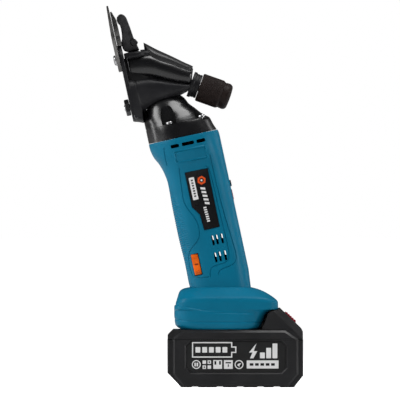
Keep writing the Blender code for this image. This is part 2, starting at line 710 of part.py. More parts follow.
def comb_outline():
    """Half the comb's (y, z) outline is its heel; the rest is a row of tapered teeth."""
    half = COMB_PITCH * (COMB_TEETH - 1) / 2
    points = [(half - 8.0, 66.4), (half - 3.5, 84.0), (half + 1.6, COMB_ROOT_Z)]
    for tooth in range(COMB_TEETH):
        y = half - tooth * COMB_PITCH
        tip_z = COMB_TIP_Z - 2.5 * (y / half) ** 2
        points += [(y + 1.5, COMB_ROOT_Z + 4), (y + 0.7, tip_z - 1.0)]
        points += [(y - 0.7, tip_z - 1.0), (y - 1.5, COMB_ROOT_Z + 4)]
        if tooth < COMB_TEETH - 1:
            points.append((y - COMB_PITCH / 2, COMB_ROOT_Z))
    points += [(-half - 1.6, COMB_ROOT_Z), (-half + 3.5, 84.0), (-half + 8.0, 66.4)]
    return points


def make_comb(tool):
    """The fixed comb: flat on its bed, with teeth that thin and rise at their tips."""
    top_x = BED_X - GAP
    loops = []
    for bottom in (False, True):
        loop = []
        for y, z in comb_outline():
            thickness = 2.7 if z < COMB_TIP_Z - 8 else 1.2
            loop.append((top_x - thickness if bottom else top_x, y, z))
        loops.append(loop)
    comb = make_object("comb", loft(loops), "bright_steel", tool, smooth=False)
    holes = bmesh.new()
    for y, z in COMB_SCREWS:
        outline = [(y + 2.3 * cos(2 * pi * k / 12), z + 2.3 * sin(2 * pi * k / 12)) for k in range(12)]
        bottom = [holes.verts.new((-45.0, a, b)) for a, b in outline]
        top = [holes.verts.new((-38.0, a, b)) for a, b in outline]
        join_rows(holes, bottom, top)
        holes.faces.new(bottom)
        holes.faces.new(top[::-1])
    boolean(comb, make_object("comb_screw_guide", holes, "bright_steel", tool, smooth=False))
    for name, (y, z) in zip(("left_comb_screw", "right_comb_screw"), COMB_SCREWS):
        place = (BED_X - 3.4, y, z)
        make_screw(name, place, (-1, 0, 0), 4.2, 2.0, 1.7, 7.0, tool)


def make_cutter(pivot):
    """The moving cutter: four points that sweep over the comb."""
    half = CUTTER_PITCH * (CUTTER_POINTS - 1) / 2
    points = [(0.0, 93.0), (half - 2.0, 95.5), (half + 2.4, 99.0)]
    for index in range(CUTTER_POINTS):
        y = half - index * CUTTER_PITCH
        points += [(y + 2.3, 104.0), (y + 1.4, 111.5), (y + 0.7, 117.9)]
        points += [(y - 0.7, 117.9), (y - 1.4, 111.5), (y - 2.3, 104.0)]
        if index < CUTTER_POINTS - 1:
            points.append((y - CUTTER_PITCH / 2, 101.5))
    points += [(-half - 2.4, 99.0), (-half + 2.0, 95.5)]
    low = BED_X + GAP
    loops = []
    for raised in (False, True):
        loop = []
        for y, z in points:
            thickness = CUTTER_TIP_THICKNESS if z > CUTTER_STEP_Z else CUTTER_THICKNESS
            loop.append((low + thickness if raised else low, y, z - PIVOT_Z))
        loops.append(loop)
    make_object("cutter", loft(loops), "bright_steel", pivot, smooth=False)


def make_fork(tool):
    """The fork that the crank swings, with the claws that press on the cutter."""
    pivot = make_empty("fork_axis", Vector((0, 0, PIVOT_Z)), tool)
    sections = (                 # (z, low x, high x, half width)
        (25.6, -22.0, -6.0, 10.0),
        (29.0, -24.2, -9.0, 9.6),
        (31.8, -25.2, -13.5, 9.2),
        (35.0, -28.6, -18.5, 8.4),
        (42.0, -30.0, -22.4, 6.4),
        (60.0, -30.2, -23.4, 6.4),
        (70.0, -30.3, -23.4, 7.4),
        (77.0, -30.5, -22.6, 12.6),
        (80.6, -30.6, -22.0, 14.2),
    )
    loops = []
    for z, low, high, half in sections:
        shifted = z - PIVOT_Z
        loops.append(oval((low, shifted), (high, shifted), half, 5.0, count=16))
    fork = make_object("fork", loft(loops), "satin_casting", pivot)
    tines = bmesh.new()
    for side in (-1, 1):
        low, high = sorted((side * 7.0, side * 9.4))
        box((-15.0, low, 15.2 - PIVOT_Z), (-7.0, high, 28.0 - PIVOT_Z), tines)
    boolean(fork, make_object("tine_guide", tines, "satin_casting", pivot, smooth=False), "UNION")
    side_view = ((-29.8, 81.1), (-32.3, 85.3), (-33.4, 92.7), (-33.1, 98.0), (-33.2, 105.9),
                 (-35.0, 108.1), (-34.4, 112.4), (-32.6, 114.2), (-29.2, 114.0), (-27.3, 111.4),
                 (-26.1, 101.6), (-25.4, 92.7), (-23.0, 87.0), (-21.2, 81.1))
    for name, side in (("left_claw", -1), ("right_claw", 1)):
        loops = []
        for edge in (9.0, 15.5):
            loops.append([(x, side * (edge + max(0.0, z - 96.0) * 0.18), z - PIVOT_Z) for x, z in side_view])
        claw = make_object(name, loft(loops), "dark_steel", pivot, smooth=False)
        bevel(claw, 0.5, 1)
    return pivot


def make_tension(tool):
    """The tension pin, the tube that guides it and the knob that drives it."""
    pin_axis = make_empty("tension_axis", TENSION_FOOT, tool)
    pin_profile = ((2.6, 2.0), (3.9, 3.2), (3.9, 62.0))
    pin = make_object("tension_pin", turned(pin_profile, 20), "bright_steel", pin_axis)
    pin.rotation_mode = "QUATERNION"
    pin.rotation_quaternion = Vector((0, 0, 1)).rotation_difference(TENSION_AXIS)
    tube_profile = ((11.2, 45.6), (11.2, 48.0), (10.2, 48.6), (10.2, 53.3), (4.3, 53.3), (4.3, 45.6))
    tube = make_object("tension_tube", turned(tube_profile, 24, True), "gloss_casting", tool)
    aim(tube, TENSION_FOOT, TENSION_AXIS)
    start = KNOB_START
    knob_profile = ((11.8, start), (12.5, start + 0.8), (12.5, start + 8.6), (11.7, start + 9.0),
                    (11.7, start + 10.2), (12.5, start + 10.6), (12.5, start + 19.2), (11.6, start + 20.4),
                    (11.4, start + 24.2), (9.6, start + 27.0), (6.0, start + 27.9),
                    (1.0, start + 28.1), (1.0, start + 12.0), (4.3, start + 12.0), (4.3, start))
    knob = make_object("tension_knob", turned(knob_profile, 24, True), "knob_brown", tool)
    aim(knob, TENSION_FOOT, TENSION_AXIS)


# ---- Battery pack --------------------------------------------------------------------

TUB_OUTLINE = ((-46.5, 0.0), (50.5, 0.0), (58.5, 10.0), (58.5, PACK_SPLIT), (-58.5, PACK_SPLIT),
               (-58.5, 12.5))
TUB_PANEL = ((-45.1, 0.0), (45.7, 0.0), (54.8, 10.8), (54.8, PACK_SPLIT), (-54.2, PACK_SPLIT), (-54.2, 10.8))
LID_OUTLINE = ((-58.3, PACK_SPLIT + GAP), (58.3, PACK_SPLIT + GAP), (58.3, 48.0), (57.0, 50.6), (38.8, 68.0),
               (37.6, 67.8), (37.5, 66.7), (31.4, 65.4), (28.9, 63.3), (23.1, PACK_TOP),
               (-53.6, PACK_TOP), (-58.3, 44.8))
LID_PANEL = ((-54.2, PACK_SPLIT + GAP), (54.6, PACK_SPLIT + GAP), (54.0, 42.3), (43.1, PACK_TOP - 0.2),
             (-45.1, PACK_TOP - 0.2), (-54.2, 42.8))
PACK_LABEL = ((-38.0, 13.0), (39.6, 13.0), (43.6, 17.0), (43.6, 35.6), (39.6, 39.6), (-38.0, 39.6),
              (-42.0, 35.6), (-42.0, 17.0))


def make_pack_cases(pack):
    """The tub that holds the cells and the lid with its rails and sloping front."""
    tub = make_object("pack_lower_case", prism(TUB_OUTLINE, -PACK_HALF, PACK_HALF), "black_plastic", pack)
    panel = prism(TUB_PANEL, -PANEL_HALF, PANEL_HALF)
    boolean(tub, make_object("tub_panel_guide", panel, "black_plastic", pack, smooth=False), "UNION")
    hollow = ((-43.0, 2.6), (47.0, 2.6), (55.6, 12.0), (55.6, 45.0), (-55.6, 45.0), (-55.6, 14.0))
    hollow_bm = prism(hollow, -33.4, 33.4)
    boolean(tub, make_object("tub_hollow_guide", hollow_bm, "black_plastic", pack, smooth=False))
    recess = prism(PACK_LABEL, -45, -36.6)
    prism(PACK_LABEL, 36.6, 45, recess)
    boolean(tub, make_object("pack_recess_guide", recess, "black_plastic", pack, smooth=False))
    lid = make_object("pack_upper_case", prism(LID_OUTLINE, -PACK_HALF, PACK_HALF), "black_plastic", pack)
    lid_panel = prism(LID_PANEL, -PANEL_HALF, PANEL_HALF)
    boolean(lid, make_object("lid_panel_guide", lid_panel, "black_plastic", pack, smooth=False), "UNION")
    rail = [(-20.0, PACK_TOP - 2.0), (20.0, PACK_TOP - 2.0), (20.0, 52.6), (23.6, 52.6), (23.6, 55.4),
            (-23.6, 55.4), (-23.6, 52.6), (-20.0, 52.6)]
    rail_bm = loft([[(x, y, z) for y, z in rail] for x in (-43.0, 27.0)])
    boolean(lid, make_object("rail_guide", rail_bm, "black_plastic", pack, smooth=False), "UNION")
    tongue = box((22.4, -13.6, 50.0), (33.0, 13.6, 62.4))
    boolean(lid, make_object("tongue_guide", tongue, "black_plastic", pack, smooth=False), "UNION")
    hump = ((26.0, 38.0), (55.0, 38.0), (55.0, 48.6), (38.2, 62.4), (34.0, 61.0))
    hollow_lid = prism(hump, -32.5, 32.5)
    boolean(lid, make_object("hump_hollow_guide", hollow_lid, "black_plastic", pack, smooth=False))
    button_axis = make_empty("release_button_axis", Vector((47.4, 0, 59.7)), pack)
    window = box((-6.8, -13.4, -8.0), (6.8, 13.4, 6.0))
    window_guide = make_object("button_window_guide", window, "black_plastic", button_axis, smooth=False)
    slope = Vector((0, 0, 1)).rotation_difference(BUTTON_NORMAL)
    window_guide.rotation_mode = "QUATERNION"
    window_guide.rotation_quaternion = slope
    boolean(lid, window_guide)
    block = box((-6.3, -12.9, -3.4), (6.3, 12.9, 1.6))
    button = make_object("release_button", block, "red_plastic", button_axis)
    button.rotation_mode = "QUATERNION"
    button.rotation_quaternion = slope
    bevel(button, 0.6, 2)


def make_pack_insides(pack):
    """Cells, contacts and the label panels."""
    cell_z = 2.6 + GAP + CELL_RADIUS
    for number in range(CELL_COUNT):
        x = (number - (CELL_COUNT - 1) / 2) * CELL_PITCH
        profile = ((CELL_RADIUS, 0.0), (CELL_RADIUS, CELL_LENGTH - 1.2),
                   (5.2, CELL_LENGTH - 0.6), (5.2, CELL_LENGTH))
        cell = make_object(f"battery_cell_{number + 1}", turned(profile, 20), "cell_wrap", pack)
        side = -1 if number % 2 else 1
        aim(cell, (x, -side * CELL_LENGTH / 2, cell_z), (0, side, 0))
    make_object("pack_contacts", box((-30.0, -9.0, 55.7), (8.0, 9.0, 57.6)), "brass", pack)
    for name, side in (("pack_label_left", -1), ("pack_label_right", 1)):
        low, high = sorted((side * 36.9, side * 37.6))
        outline = grown_outline(PACK_LABEL, -GAP)
        make_object(name, prism(outline, low, high), "label_film", pack, smooth=False)


def make_foot_insides():
    """The guide that the pack slides in, the contact block and the control board."""
    channel = [(-29.0, 50.3), (-20.6, 50.3), (-20.6, 52.2), (-24.2, 52.2), (-24.2, 58.2), (24.2, 58.2),
               (24.2, 52.2), (20.6, 52.2), (20.6, 50.3), (29.0, 50.3), (29.0, 61.0), (-29.0, 61.0)]
    guide = loft([[(x, y, z) for y, z in channel] for x in (-38.4, 11.6)])
    make_object("pack_guide", guide, "black_plastic", None, smooth=False)
    block = make_object("terminal_block", box((-26.0, -14.0, 61.3), (4.0, 14.0, 66.0)), "black_plastic")
    bevel(block, 0.5, 1)
    make_object("control_board", box((-32.0, -18.0, 68.0), (12.0, 18.0, 69.6)), "circuit_green")


def build():
    """Make every piece."""
    clear_scene()
    tool = make_empty("tool_frame", TOOL_ORIGIN)
    tool.rotation_euler = (0, -TILT, 0)
    pack = make_empty("pack_frame", Vector((0, 0, 0)))
    make_housing(tool)
    make_label(tool)
    make_housing_screws()
    make_power_switch(tool)
    make_edge_controls(tool)
    motor_axis = make_motor(tool)
    make_rotor(motor_axis)
    make_crank(tool)
    make_gear_housing(tool)
    make_bearing_plate(tool)
    make_head_casting(tool)
    make_hood(tool)
    make_pivot(tool)
    make_comb(tool)
    fork_axis = make_fork(tool)
    make_cutter(fork_axis)
    make_tension(tool)
    make_pack_cases(pack)
    make_pack_insides(pack)
    make_foot_insides()
    bpy.context.view_layer.update()


build()
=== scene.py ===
"""The looks of the cordless sheep shears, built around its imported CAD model.

Shapes are written in millimetres. Most of them are drawn in the handpiece's own frame,
in which z runs along the handpiece, x across it towards the tension knob, and y is the
world's y. A part is a pair: an array of points and a list of faces.
"""
import json
from math import cos, pi, radians, sin

import bmesh
import bpy
import numpy as np
from mathutils import Matrix, Vector


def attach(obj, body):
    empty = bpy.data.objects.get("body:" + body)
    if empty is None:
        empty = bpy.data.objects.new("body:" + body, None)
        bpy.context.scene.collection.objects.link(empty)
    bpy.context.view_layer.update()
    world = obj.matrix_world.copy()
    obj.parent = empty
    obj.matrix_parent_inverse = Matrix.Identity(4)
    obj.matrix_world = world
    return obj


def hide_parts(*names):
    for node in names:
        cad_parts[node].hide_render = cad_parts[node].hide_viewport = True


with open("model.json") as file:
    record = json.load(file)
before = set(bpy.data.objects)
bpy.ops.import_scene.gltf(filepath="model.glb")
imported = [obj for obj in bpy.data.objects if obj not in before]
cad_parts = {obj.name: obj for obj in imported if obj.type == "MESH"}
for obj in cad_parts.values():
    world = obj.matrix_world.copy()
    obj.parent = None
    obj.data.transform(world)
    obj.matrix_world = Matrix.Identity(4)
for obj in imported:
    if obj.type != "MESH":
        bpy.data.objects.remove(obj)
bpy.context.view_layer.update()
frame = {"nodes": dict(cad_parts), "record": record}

MM = 0.001
GAP = 0.3
TILT = radians(12.2)             # how far the handpiece leans to the left
ORIGIN = (-44.85, 0.0, 216.25)   # the handpiece frame's place in the world
CORNER_STEPS = 4                 # straight pieces in each round corner
PRINT_LIFT, PRINT_DEPTH = 0.47, 0.35      # how far a print stands out of the grip's side, and its thickness
WORLD = Matrix.Identity(4)
TOOL = Matrix.Translation([value * MM for value in ORIGIN]) @ Matrix.Rotation(-TILT, 4, "Y")


# ---- Materials -----------------------------------------------------------------------


class Shader:
    """A Principled material whose inputs are fed by small procedural networks."""

    def __init__(self, name, colour, roughness, metallic=0.0, **fixed):
        self.material = bpy.data.materials.new(name)
        self.material.use_nodes = True
        self.nodes = self.material.node_tree.nodes
        self.links = self.material.node_tree.links
        self.shader = self.nodes["Principled BSDF"]
        self.shader.inputs["Base Color"].default_value = (*colour, 1.0)
        self.shader.inputs["Roughness"].default_value = roughness
        self.shader.inputs["Metallic"].default_value = metallic
        for label, value in fixed.items():
            self.shader.inputs[label.replace("_", " ")].default_value = value
        self.place = self.nodes.new("ShaderNodeTexCoord").outputs["Object"]
        self.bump = None

    def node(self, kind, inputs=None, **settings):
        made = self.nodes.new("ShaderNode" + kind)
        for key, value in settings.items():
            setattr(made, key, value)
        for key, value in (inputs or {}).items():
            if hasattr(value, "is_linked"):
                self.links.new(value, made.inputs[key])
            else:
                made.inputs[key].default_value = value
        return made

    def noise(self, scale, detail=3.0, stretch=None):
        """Noise over the object, finer with scale; stretch squeezes it along an axis."""
        place = self.place
        if stretch:
            place = self.node("Mapping", {"Vector": place, "Scale": stretch}).outputs[0]
        return self.node("TexNoise", {"Vector": place, "Scale": scale, "Detail": detail}).outputs[0]

    def grain(self, scale):
        """Fine cells, as spark erosion leaves in a mould."""
        return self.node("TexVoronoi", {"Vector": self.place, "Scale": scale}).outputs[0]

    def ramp(self, value, low, high, start=0.35, end=0.65):
        """Value spread from one number to another."""
        made = self.node("MapRange", {0: value, 1: start, 2: end, 3: low, 4: high})
        return made.outputs[0]

    def raise_by(self, height, distance, strength=1.0):
        """Add a height to the surface, in metres."""
        inputs = {"Height": height, "Distance": distance, "Strength": strength}
        if self.bump:
            inputs["Normal"] = self.bump
        self.bump = self.node("Bump", inputs).outputs[0]
        self.links.new(self.bump, self.shader.inputs["Normal"])

    def vary_roughness(self, value, low, high):
        self.links.new(self.ramp(value, low, high), self.shader.inputs["Roughness"])

    def vary_colour(self, value, first, second, start=0.35, end=0.65):
        mix = self.node("Mix", {0: self.ramp(value, 0.0, 1.0, start, end)}, data_type="RGBA")
        mix.inputs[6].default_value = (*first, 1.0)
        mix.inputs[7].default_value = (*second, 1.0)
        self.links.new(mix.outputs[2], self.shader.inputs["Base Color"])


def teal_plastic():
    made = Shader("teal_plastic", (0.0008, 0.150, 0.262), 0.38, Specular_IOR_Level=0.11)
    made.vary_colour(made.noise(38.0), (0.0022, 0.150, 0.258), (0.0028, 0.165, 0.284))
    made.vary_roughness(made.noise(60.0), 0.34, 0.42)
    made.raise_by(made.grain(2600.0), 0.00006, 0.35)
    return made.material


def black_moulding():
    made = Shader("black_moulding", (0.010, 0.010, 0.011), 0.36, Specular_IOR_Level=0.34)
    made.vary_colour(made.noise(45.0), (0.009, 0.009, 0.010), (0.013, 0.013, 0.0145))
    made.vary_roughness(made.noise(70.0), 0.32, 0.41)
    made.raise_by(made.grain(2100.0), 0.00009, 0.5)
    return made.material


def gloss_casting():
    made = Shader("gloss_casting", (0.004, 0.004, 0.005), 0.27, Coat_Weight=0.35, Coat_Roughness=0.16)
    made.vary_roughness(made.noise(55.0), 0.24, 0.33)
    made.raise_by(made.noise(420.0), 0.00004, 0.12)
    return made.material


def hood_enamel():
    made = Shader("hood_enamel", (0.018, 0.018, 0.019), 0.42)
    made.vary_roughness(made.noise(55.0), 0.38, 0.46)
    made.raise_by(made.noise(420.0), 0.00004, 0.1)
    return made.material


def satin_casting():
    made = Shader("satin_casting", (0.015, 0.015, 0.017), 0.42, Specular_IOR_Level=0.20)
    made.vary_colour(made.noise(60.0), (0.013, 0.013, 0.015), (0.020, 0.020, 0.022))
    made.vary_roughness(made.noise(90.0), 0.34, 0.48)
    made.raise_by(made.noise(1500.0), 0.00006, 0.4)
    return made.material


def knob_plastic():
    made = Shader("knob_brown", (0.014, 0.0085, 0.0075), 0.50, Specular_IOR_Level=0.14)
    made.vary_colour(made.noise(240.0), (0.012, 0.0070, 0.0060), (0.018, 0.0115, 0.0100))
    made.vary_roughness(made.noise(120.0), 0.40, 0.55)
    made.raise_by(made.noise(1800.0), 0.00005, 0.3)
    return made.material


def bright_steel():
    made = Shader("bright_steel", (0.50, 0.50, 0.51), 0.28, 1.0)
    made.vary_roughness(made.noise(160.0, 4.0, (1.0, 22.0, 1.0)), 0.20, 0.38)
    made.vary_colour(made.noise(70.0), (0.45, 0.45, 0.46), (0.56, 0.56, 0.57))
    made.raise_by(made.noise(500.0, 4.0, (1.0, 16.0, 1.0)), 0.00002, 0.4)
    return made.material


def cutter_steel():
    made = Shader("cutter_steel", (0.19, 0.185, 0.18), 0.36, 1.0)
    made.vary_colour(made.noise(90.0), (0.15, 0.147, 0.143), (0.24, 0.235, 0.23))
    made.vary_roughness(made.noise(160.0, 4.0, (1.0, 22.0, 1.0)), 0.30, 0.46)
    made.raise_by(made.noise(500.0, 4.0, (1.0, 16.0, 1.0)), 0.00002, 0.4)
    return made.material


def dark_steel():
    made = Shader("dark_steel", (0.07, 0.07, 0.073), 0.38, 1.0)
    made.vary_colour(made.noise(120.0), (0.055, 0.055, 0.058), (0.10, 0.10, 0.104))
    made.vary_roughness(made.noise(200.0), 0.32, 0.50)
    return made.material


def plain(name, colour, roughness, metallic=0.0, spread=0.12):
    """A simple moulding or plating with a little variation and grain."""
    made = Shader(name, colour, roughness, metallic, Specular_IOR_Level=0.5 if metallic else 0.2)
    darker = tuple(c * (1 - spread) for c in colour)
    lighter = tuple(c * (1 + spread) for c in colour)
    made.vary_colour(made.noise(80.0), darker, lighter)
    made.vary_roughness(made.noise(120.0), roughness * 0.88, roughness * 1.12)
    made.raise_by(made.grain(2400.0), 0.00005, 0.25)
    return made.material


MATERIALS = {                    # by slot, and by name where a piece differs from its slot
    "housing_teal": teal_plastic(),
    "rocker_orange": plain("orange_plastic", (0.90, 0.150, 0.010), 0.38),
    "black_moulding": black_moulding(),
    "release_red": plain("red_plastic", (0.36, 0.012, 0.030), 0.36),
    "label_film": plain("label_film", (0.007, 0.007, 0.008), 0.30),
    "gloss_casting": gloss_casting(),
    "satin_casting": satin_casting(),
    "hood_enamel": hood_enamel(),
    "knob_brown": knob_plastic(),
    "bright_steel": bright_steel(),
    "dark_steel": dark_steel(),
    "cutter_steel": cutter_steel(),
    "cell_wrap": plain("cell_wrap", (0.02, 0.15, 0.40), 0.40),
    "circuit_green": plain("circuit_green", (0.010, 0.12, 0.05), 0.45),
    "contact_brass": plain("contact_brass", (0.60, 0.40, 0.12), 0.30, 1.0),
    # painted shade: a darker casting colour standing in for the shade in the recess between web, barrel and
    # brow
    "painted_shade_casting": plain("painted_shade_casting", (0.005, 0.005, 0.006), 0.50),
    "pack_film": plain("pack_film", (0.016, 0.016, 0.0165), 0.42),
    "print_white": plain("print_white", (0.80, 0.80, 0.80), 0.45, spread=0.03),
    "print_orange": plain("print_orange", (0.78, 0.09, 0.015), 0.45, spread=0.05),
    "print_dark": plain("print_dark", (0.16, 0.02, 0.008), 0.5, spread=0.05),
}


def finish_cad_nodes():
    """Give every carried-over CAD node its slot's material."""
    for row in frame["record"]["subparts"]:
        node = frame["nodes"][row["node"]]
        node.data.materials.clear()
        node.data.materials.append(MATERIALS[row["material_slot"]])


# ---- Shapes --------------------------------------------------------------------------


def curve(knots, rows, at):
    """Rows of numbers on a smooth curve that never overshoots the given ones."""
    knots, rows, at = (np.asarray(values, float) for values in (knots, rows, at))
    step = np.diff(knots)[:, None]
    rise = np.diff(rows, axis=0) / step
    slope = np.zeros_like(rows)
    before, after = rise[:-1], rise[1:]
    first, second = step[1:] * 2 + step[:-1], step[1:] + 2 * step[:-1]
    with np.errstate(divide="ignore", invalid="ignore"):
        mean = (first + second) / (first / before + second / after)
    slope[1:-1] = np.where(before * after > 0, mean, 0.0)
    slope[0], slope[-1] = rise[0], rise[-1]
    index = np.clip(np.searchsorted(knots, at, side="right") - 1, 0, len(step) - 1)
    t = ((at - knots[index]) / step[index, 0])[:, None]
    low = (2 * t**3 - 3 * t**2 + 1) * rows[index] + (t**3 - 2 * t**2 + t) * step[index] * slope[index]
    return low + (3 * t**2 - 2 * t**3) * rows[index + 1] + (t**3 - t**2) * step[index] * slope[index + 1]


def smooth_step(value):
    value = np.clip(value, 0.0, 1.0)
    return value * value * (3 - 2 * value)


def rings(points, ends=True, around=False):
    """A part from rows of points that close on themselves; around joins the last row to the first."""
    points = np.asarray(points, float)
    rows, columns, _ = points.shape
    index = np.arange(rows * columns).reshape(rows, columns)
    below = index if around else index[:-1]
    above = np.roll(index, -1, axis=0) if around else index[1:]
    quads = np.stack((below, np.roll(below, -1, axis=1), np.roll(above, -1, axis=1), above), axis=-1)
    faces = quads.reshape(-1, 4).tolist()
    if ends and not around:
        faces += [index[0].tolist(), index[-1][::-1].tolist()]
    return points.reshape(-1, 3), faces


def joined(*parts):
    """Several parts as one."""
    points = []
    faces = []
    count = 0
    for some, those in parts:
        points.append(some)
        faces += [[corner + count for corner in face] for face in those]
        count += len(some)
    return np.concatenate(points), faces


def moved(part, matrix):
    """The part turned and shifted."""
    turn = np.array(matrix.to_3x3())
    return part[0] @ turn.T + np.array(matrix.translation), part[1]


def stand(part, start, direction):
    """A part drawn about z, stood at start along the direction."""
    turn = Vector((0, 0, 1)).rotation_difference(Vector(direction)).to_matrix().to_4x4()
    return moved(part, Matrix.Translation(start) @ turn)


def prism(outline, low, high, chamfer=0.0):
    """An (x, z) outline extruded along y, its rims cut back by the chamfer."""
    levels = [(0.0, low), (0.0, high)]
    if chamfer:
        levels = [(chamfer, low), (0.0, low + chamfer), (0.0, high - chamfer), (chamfer, high)]
    return rings([[(x, y, z) for x, z in inset(outline, cut)] for cut, y in levels])


def plate(outline, low, high):
    """A (y, z) outline extruded along x."""
    return rings([[(x, y, z) for y, z in outline] for x in (low, high)])


def inset(outline, amount):
    """The outline moved inwards by the amount, its corners kept sharp."""
    if not amount:
        return outline
    corners = np.asarray(outline, float)
    run = np.roll(corners, -1, axis=0) - corners
    run /= np.linalg.norm(run, axis=1)[:, None]
    across = run[:, ::-1] * (-1, 1)
    area = np.sum(corners[:, 0] * np.roll(corners[:, 1], -1) - corners[:, 1] * np.roll(corners[:, 0], -1))
    across *= np.sign(area)
    before = np.roll(across, 1, axis=0)
    mitre = before + across
    return corners + mitre * (amount / np.maximum(0.3, 1 + np.sum(before * across, axis=1)))[:, None]


def rounded(low, high, radius):
    """A rectangle between two corners, with round corners."""
    centres = ((high[0] - radius, high[1] - radius), (low[0] + radius, high[1] - radius),
               (low[0] + radius, low[1] + radius), (high[0] - radius, low[1] + radius))
    points = []
    for quarter, (a, b) in enumerate(centres):
        for step in range(CORNER_STEPS + 1):
            angle = (quarter + step / CORNER_STEPS) * pi / 2
            points.append((a + radius * cos(angle), b + radius * sin(angle)))
    return points


def disc(centre, radius, count=24):
    """A round outline."""
    angles = [2 * pi * index / count for index in range(count)]
    return [(centre[0] + radius * cos(a), centre[1] + radius * sin(a)) for a in angles]


def turned(profile, count=48, around=False):
    """A (radius, z) profile turned about z."""
    angles = np.arange(count) * 2 * pi / count
    rows = [np.stack((r * np.cos(angles), r * np.sin(angles), np.full(count, float(z))), axis=1) for r, z
            in profile]
    return rings(rows, around=around)


def block(low, high):
    """A block between two corners."""
    return prism(((low[0], low[2]), (high[0], low[2]), (high[0], high[2]), (low[0], high[2])), low[1],
                 high[1])


def tube(path, radius, sides=6):
    """A thin round bar along a path."""
    path = np.asarray(path, float)
    ahead = np.gradient(path, axis=0)
    ahead /= np.linalg.norm(ahead, axis=1)[:, None]
    side = np.cross(ahead, (0.0, 1.0, 0.0))
    side /= np.linalg.norm(side, axis=1)[:, None]
    up = np.cross(side, ahead)
    rows = []
    for index in range(sides):
        angle = 2 * pi * index / sides
        rows.append(path + radius * (cos(angle) * side + sin(angle) * up))
    return rings(np.stack(rows, axis=1))


def ovals(rows, fine=1.0, count=48, grow=0.0):
    """A smooth body through (low x, low z, high x, high z, half depth, squareness, flare) rows.

    A row without a flare has none.
    """
    rows = np.array([(*row, 0.0)[:7] for row in rows], float)
    middle = (rows[:, 0:2] + rows[:, 2:4]) / 2
    knots = np.concatenate(([0.0], np.cumsum(np.maximum(0.05,
                                                        np.linalg.norm(np.diff(middle, axis=0), axis=1)))))
    at = np.union1d(np.linspace(0.0, knots[-1], max(3, int(knots[-1] / fine))), knots)
    angle = np.arange(count) * 2 * pi / count
    loops = []
    for x0, z0, x1, z1, depth, power, flare in curve(knots, rows, at):
        run = np.array((x1 - x0, 0.0, z1 - z0))
        reach = np.linalg.norm(run) / 2
        across = np.sign(np.cos(angle)) * np.abs(np.cos(angle)) ** (2 / power)
        out = np.sign(np.sin(angle)) * np.abs(np.sin(angle)) ** (2 / power)
        centre = np.array(((x0 + x1) / 2, 0.0, (z0 + z1) / 2))
        along = across[:, None] * run / (2 * reach) * (reach + grow)
        width = (depth + grow) * (1 + flare * across) * out
        loops.append(centre + along + width[:, None] * (0.0, 1.0, 0.0))
    return rings(loops)


def raw(part):
    """A bare object from a part, for cutting."""
    mesh = bpy.data.meshes.new("raw")
    mesh.from_pydata(np.asarray(part[0]).tolist(), [], part[1])
    form = bmesh.new()
    form.from_mesh(mesh)
    bmesh.ops.recalc_face_normals(form, faces=form.faces)
    form.to_mesh(mesh)
    form.free()
    item = bpy.data.objects.new("raw", mesh)
    bpy.context.collection.objects.link(item)
    return item


def carve(part, *cutters, operation="DIFFERENCE"):
    """The part with each cutter's shape taken from it, joined to it, or kept from it."""
    item = raw(part)
    guides = [raw(cutter) for cutter in cutters]
    for guide in guides:
        step = item.modifiers.new("cut", "BOOLEAN")
        step.operation = operation
        step.solver = "EXACT"
        step.object = guide
    mesh = item.evaluated_get(bpy.context.evaluated_depsgraph_get()).to_mesh()
    points = np.array([vertex.co for vertex in mesh.vertices])
    faces = [list(face.vertices) for face in mesh.polygons]
    for thing in (item, *guides):
        bpy.data.objects.remove(thing, do_unlink=True)
    return points, faces


def piece(name, part, slot, body="tool", replaces=(), matrix=TOOL, material=None, bevel=0.0, segments=2,
          sharp=32):
    """A finished piece that rides on a body."""
    item = raw((np.asarray(part[0]) * MM, part[1]))
    item.name = item.data.name = name
    item.data.shade_smooth()
    item.data.set_sharp_from_angle(angle=radians(sharp))
    item.data.materials.append(MATERIALS[material or slot])
    if bevel:
        step = item.modifiers.new("Bevel", "BEVEL")
        step.width = bevel * MM
        step.segments = segments
        step.limit_method = "ANGLE"
        step.angle_limit = radians(sharp)
        step.harden_normals = True
    item.matrix_world = matrix
    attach(item, body)
    if replaces:
        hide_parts(*replaces)
    return item


# ---- Housing -------------------------------------------------------------------------

GRIP = (                         # (z, left x, right x, half depth, squareness)
    (-0.4, -30.8, 30.6, 30.4, 2.3), (-6.0, -30.4, 31.0, 31.0, 2.3), (-12.0, -29.0, 31.0, 30.6, 2.4),
    (-20.0, -25.2, 31.0, 28.6, 2.5), (-28.0, -22.8, 31.0, 26.4, 2.6), (-37.0, -21.6, 31.0, 25.0, 2.7),
    (-60.0, -22.3, 31.0, 24.4, 2.7), (-85.0, -22.5, 31.0, 24.2, 2.7), (-108.0, -21.9, 31.0, 24.6, 2.7),
    (-124.0, -22.2, 31.0, 25.6, 2.7),
)
FOOT = (                         # the same, level with the ground
    (86.0, -39.2, 13.6, 25.4, 3.0), (84.8, -44.6, 18.4, 27.2, 3.4), (82.4, -48.0, 24.6, 30.2, 4.0),
    (79.6, -49.2, 29.6, 33.8, 4.8), (77.6, -49.8, 32.6, 36.0, 5.6), (76.2, -50.2, 34.4, 36.9, 6.2),
    (74.0, -50.9, 36.6, 37.2, 6.6), (72.8, -51.3, 37.0, 37.3, 6.8), (67.2, -51.7, 37.1, 37.3, 6.8),
    (66.0, -51.7, 31.2, 37.3, 4.8), (63.6, -51.7, 28.2, 37.3, 4.8), (54.0, -50.8, 24.0, 36.9, 4.8),
    (49.9, -47.0, 22.4, 35.6, 4.6),
)
WALL = 2.6
RIB_PITCH = 1.85
RIB_TOP, RIB_BOTTOM = -43.0, -121.0
SEAM = 0.55                      # depth of the groove where the two shells meet
LABEL = ((-5.2, -31.2), (14.6, -31.5), (14.2, -82.7), (0.8, -82.9), (-0.1, -69.0), (-5.5, -61.2))
LABEL_FLOOR = 23.0
ROCKER = (-12.2, -19.0, -110.6)
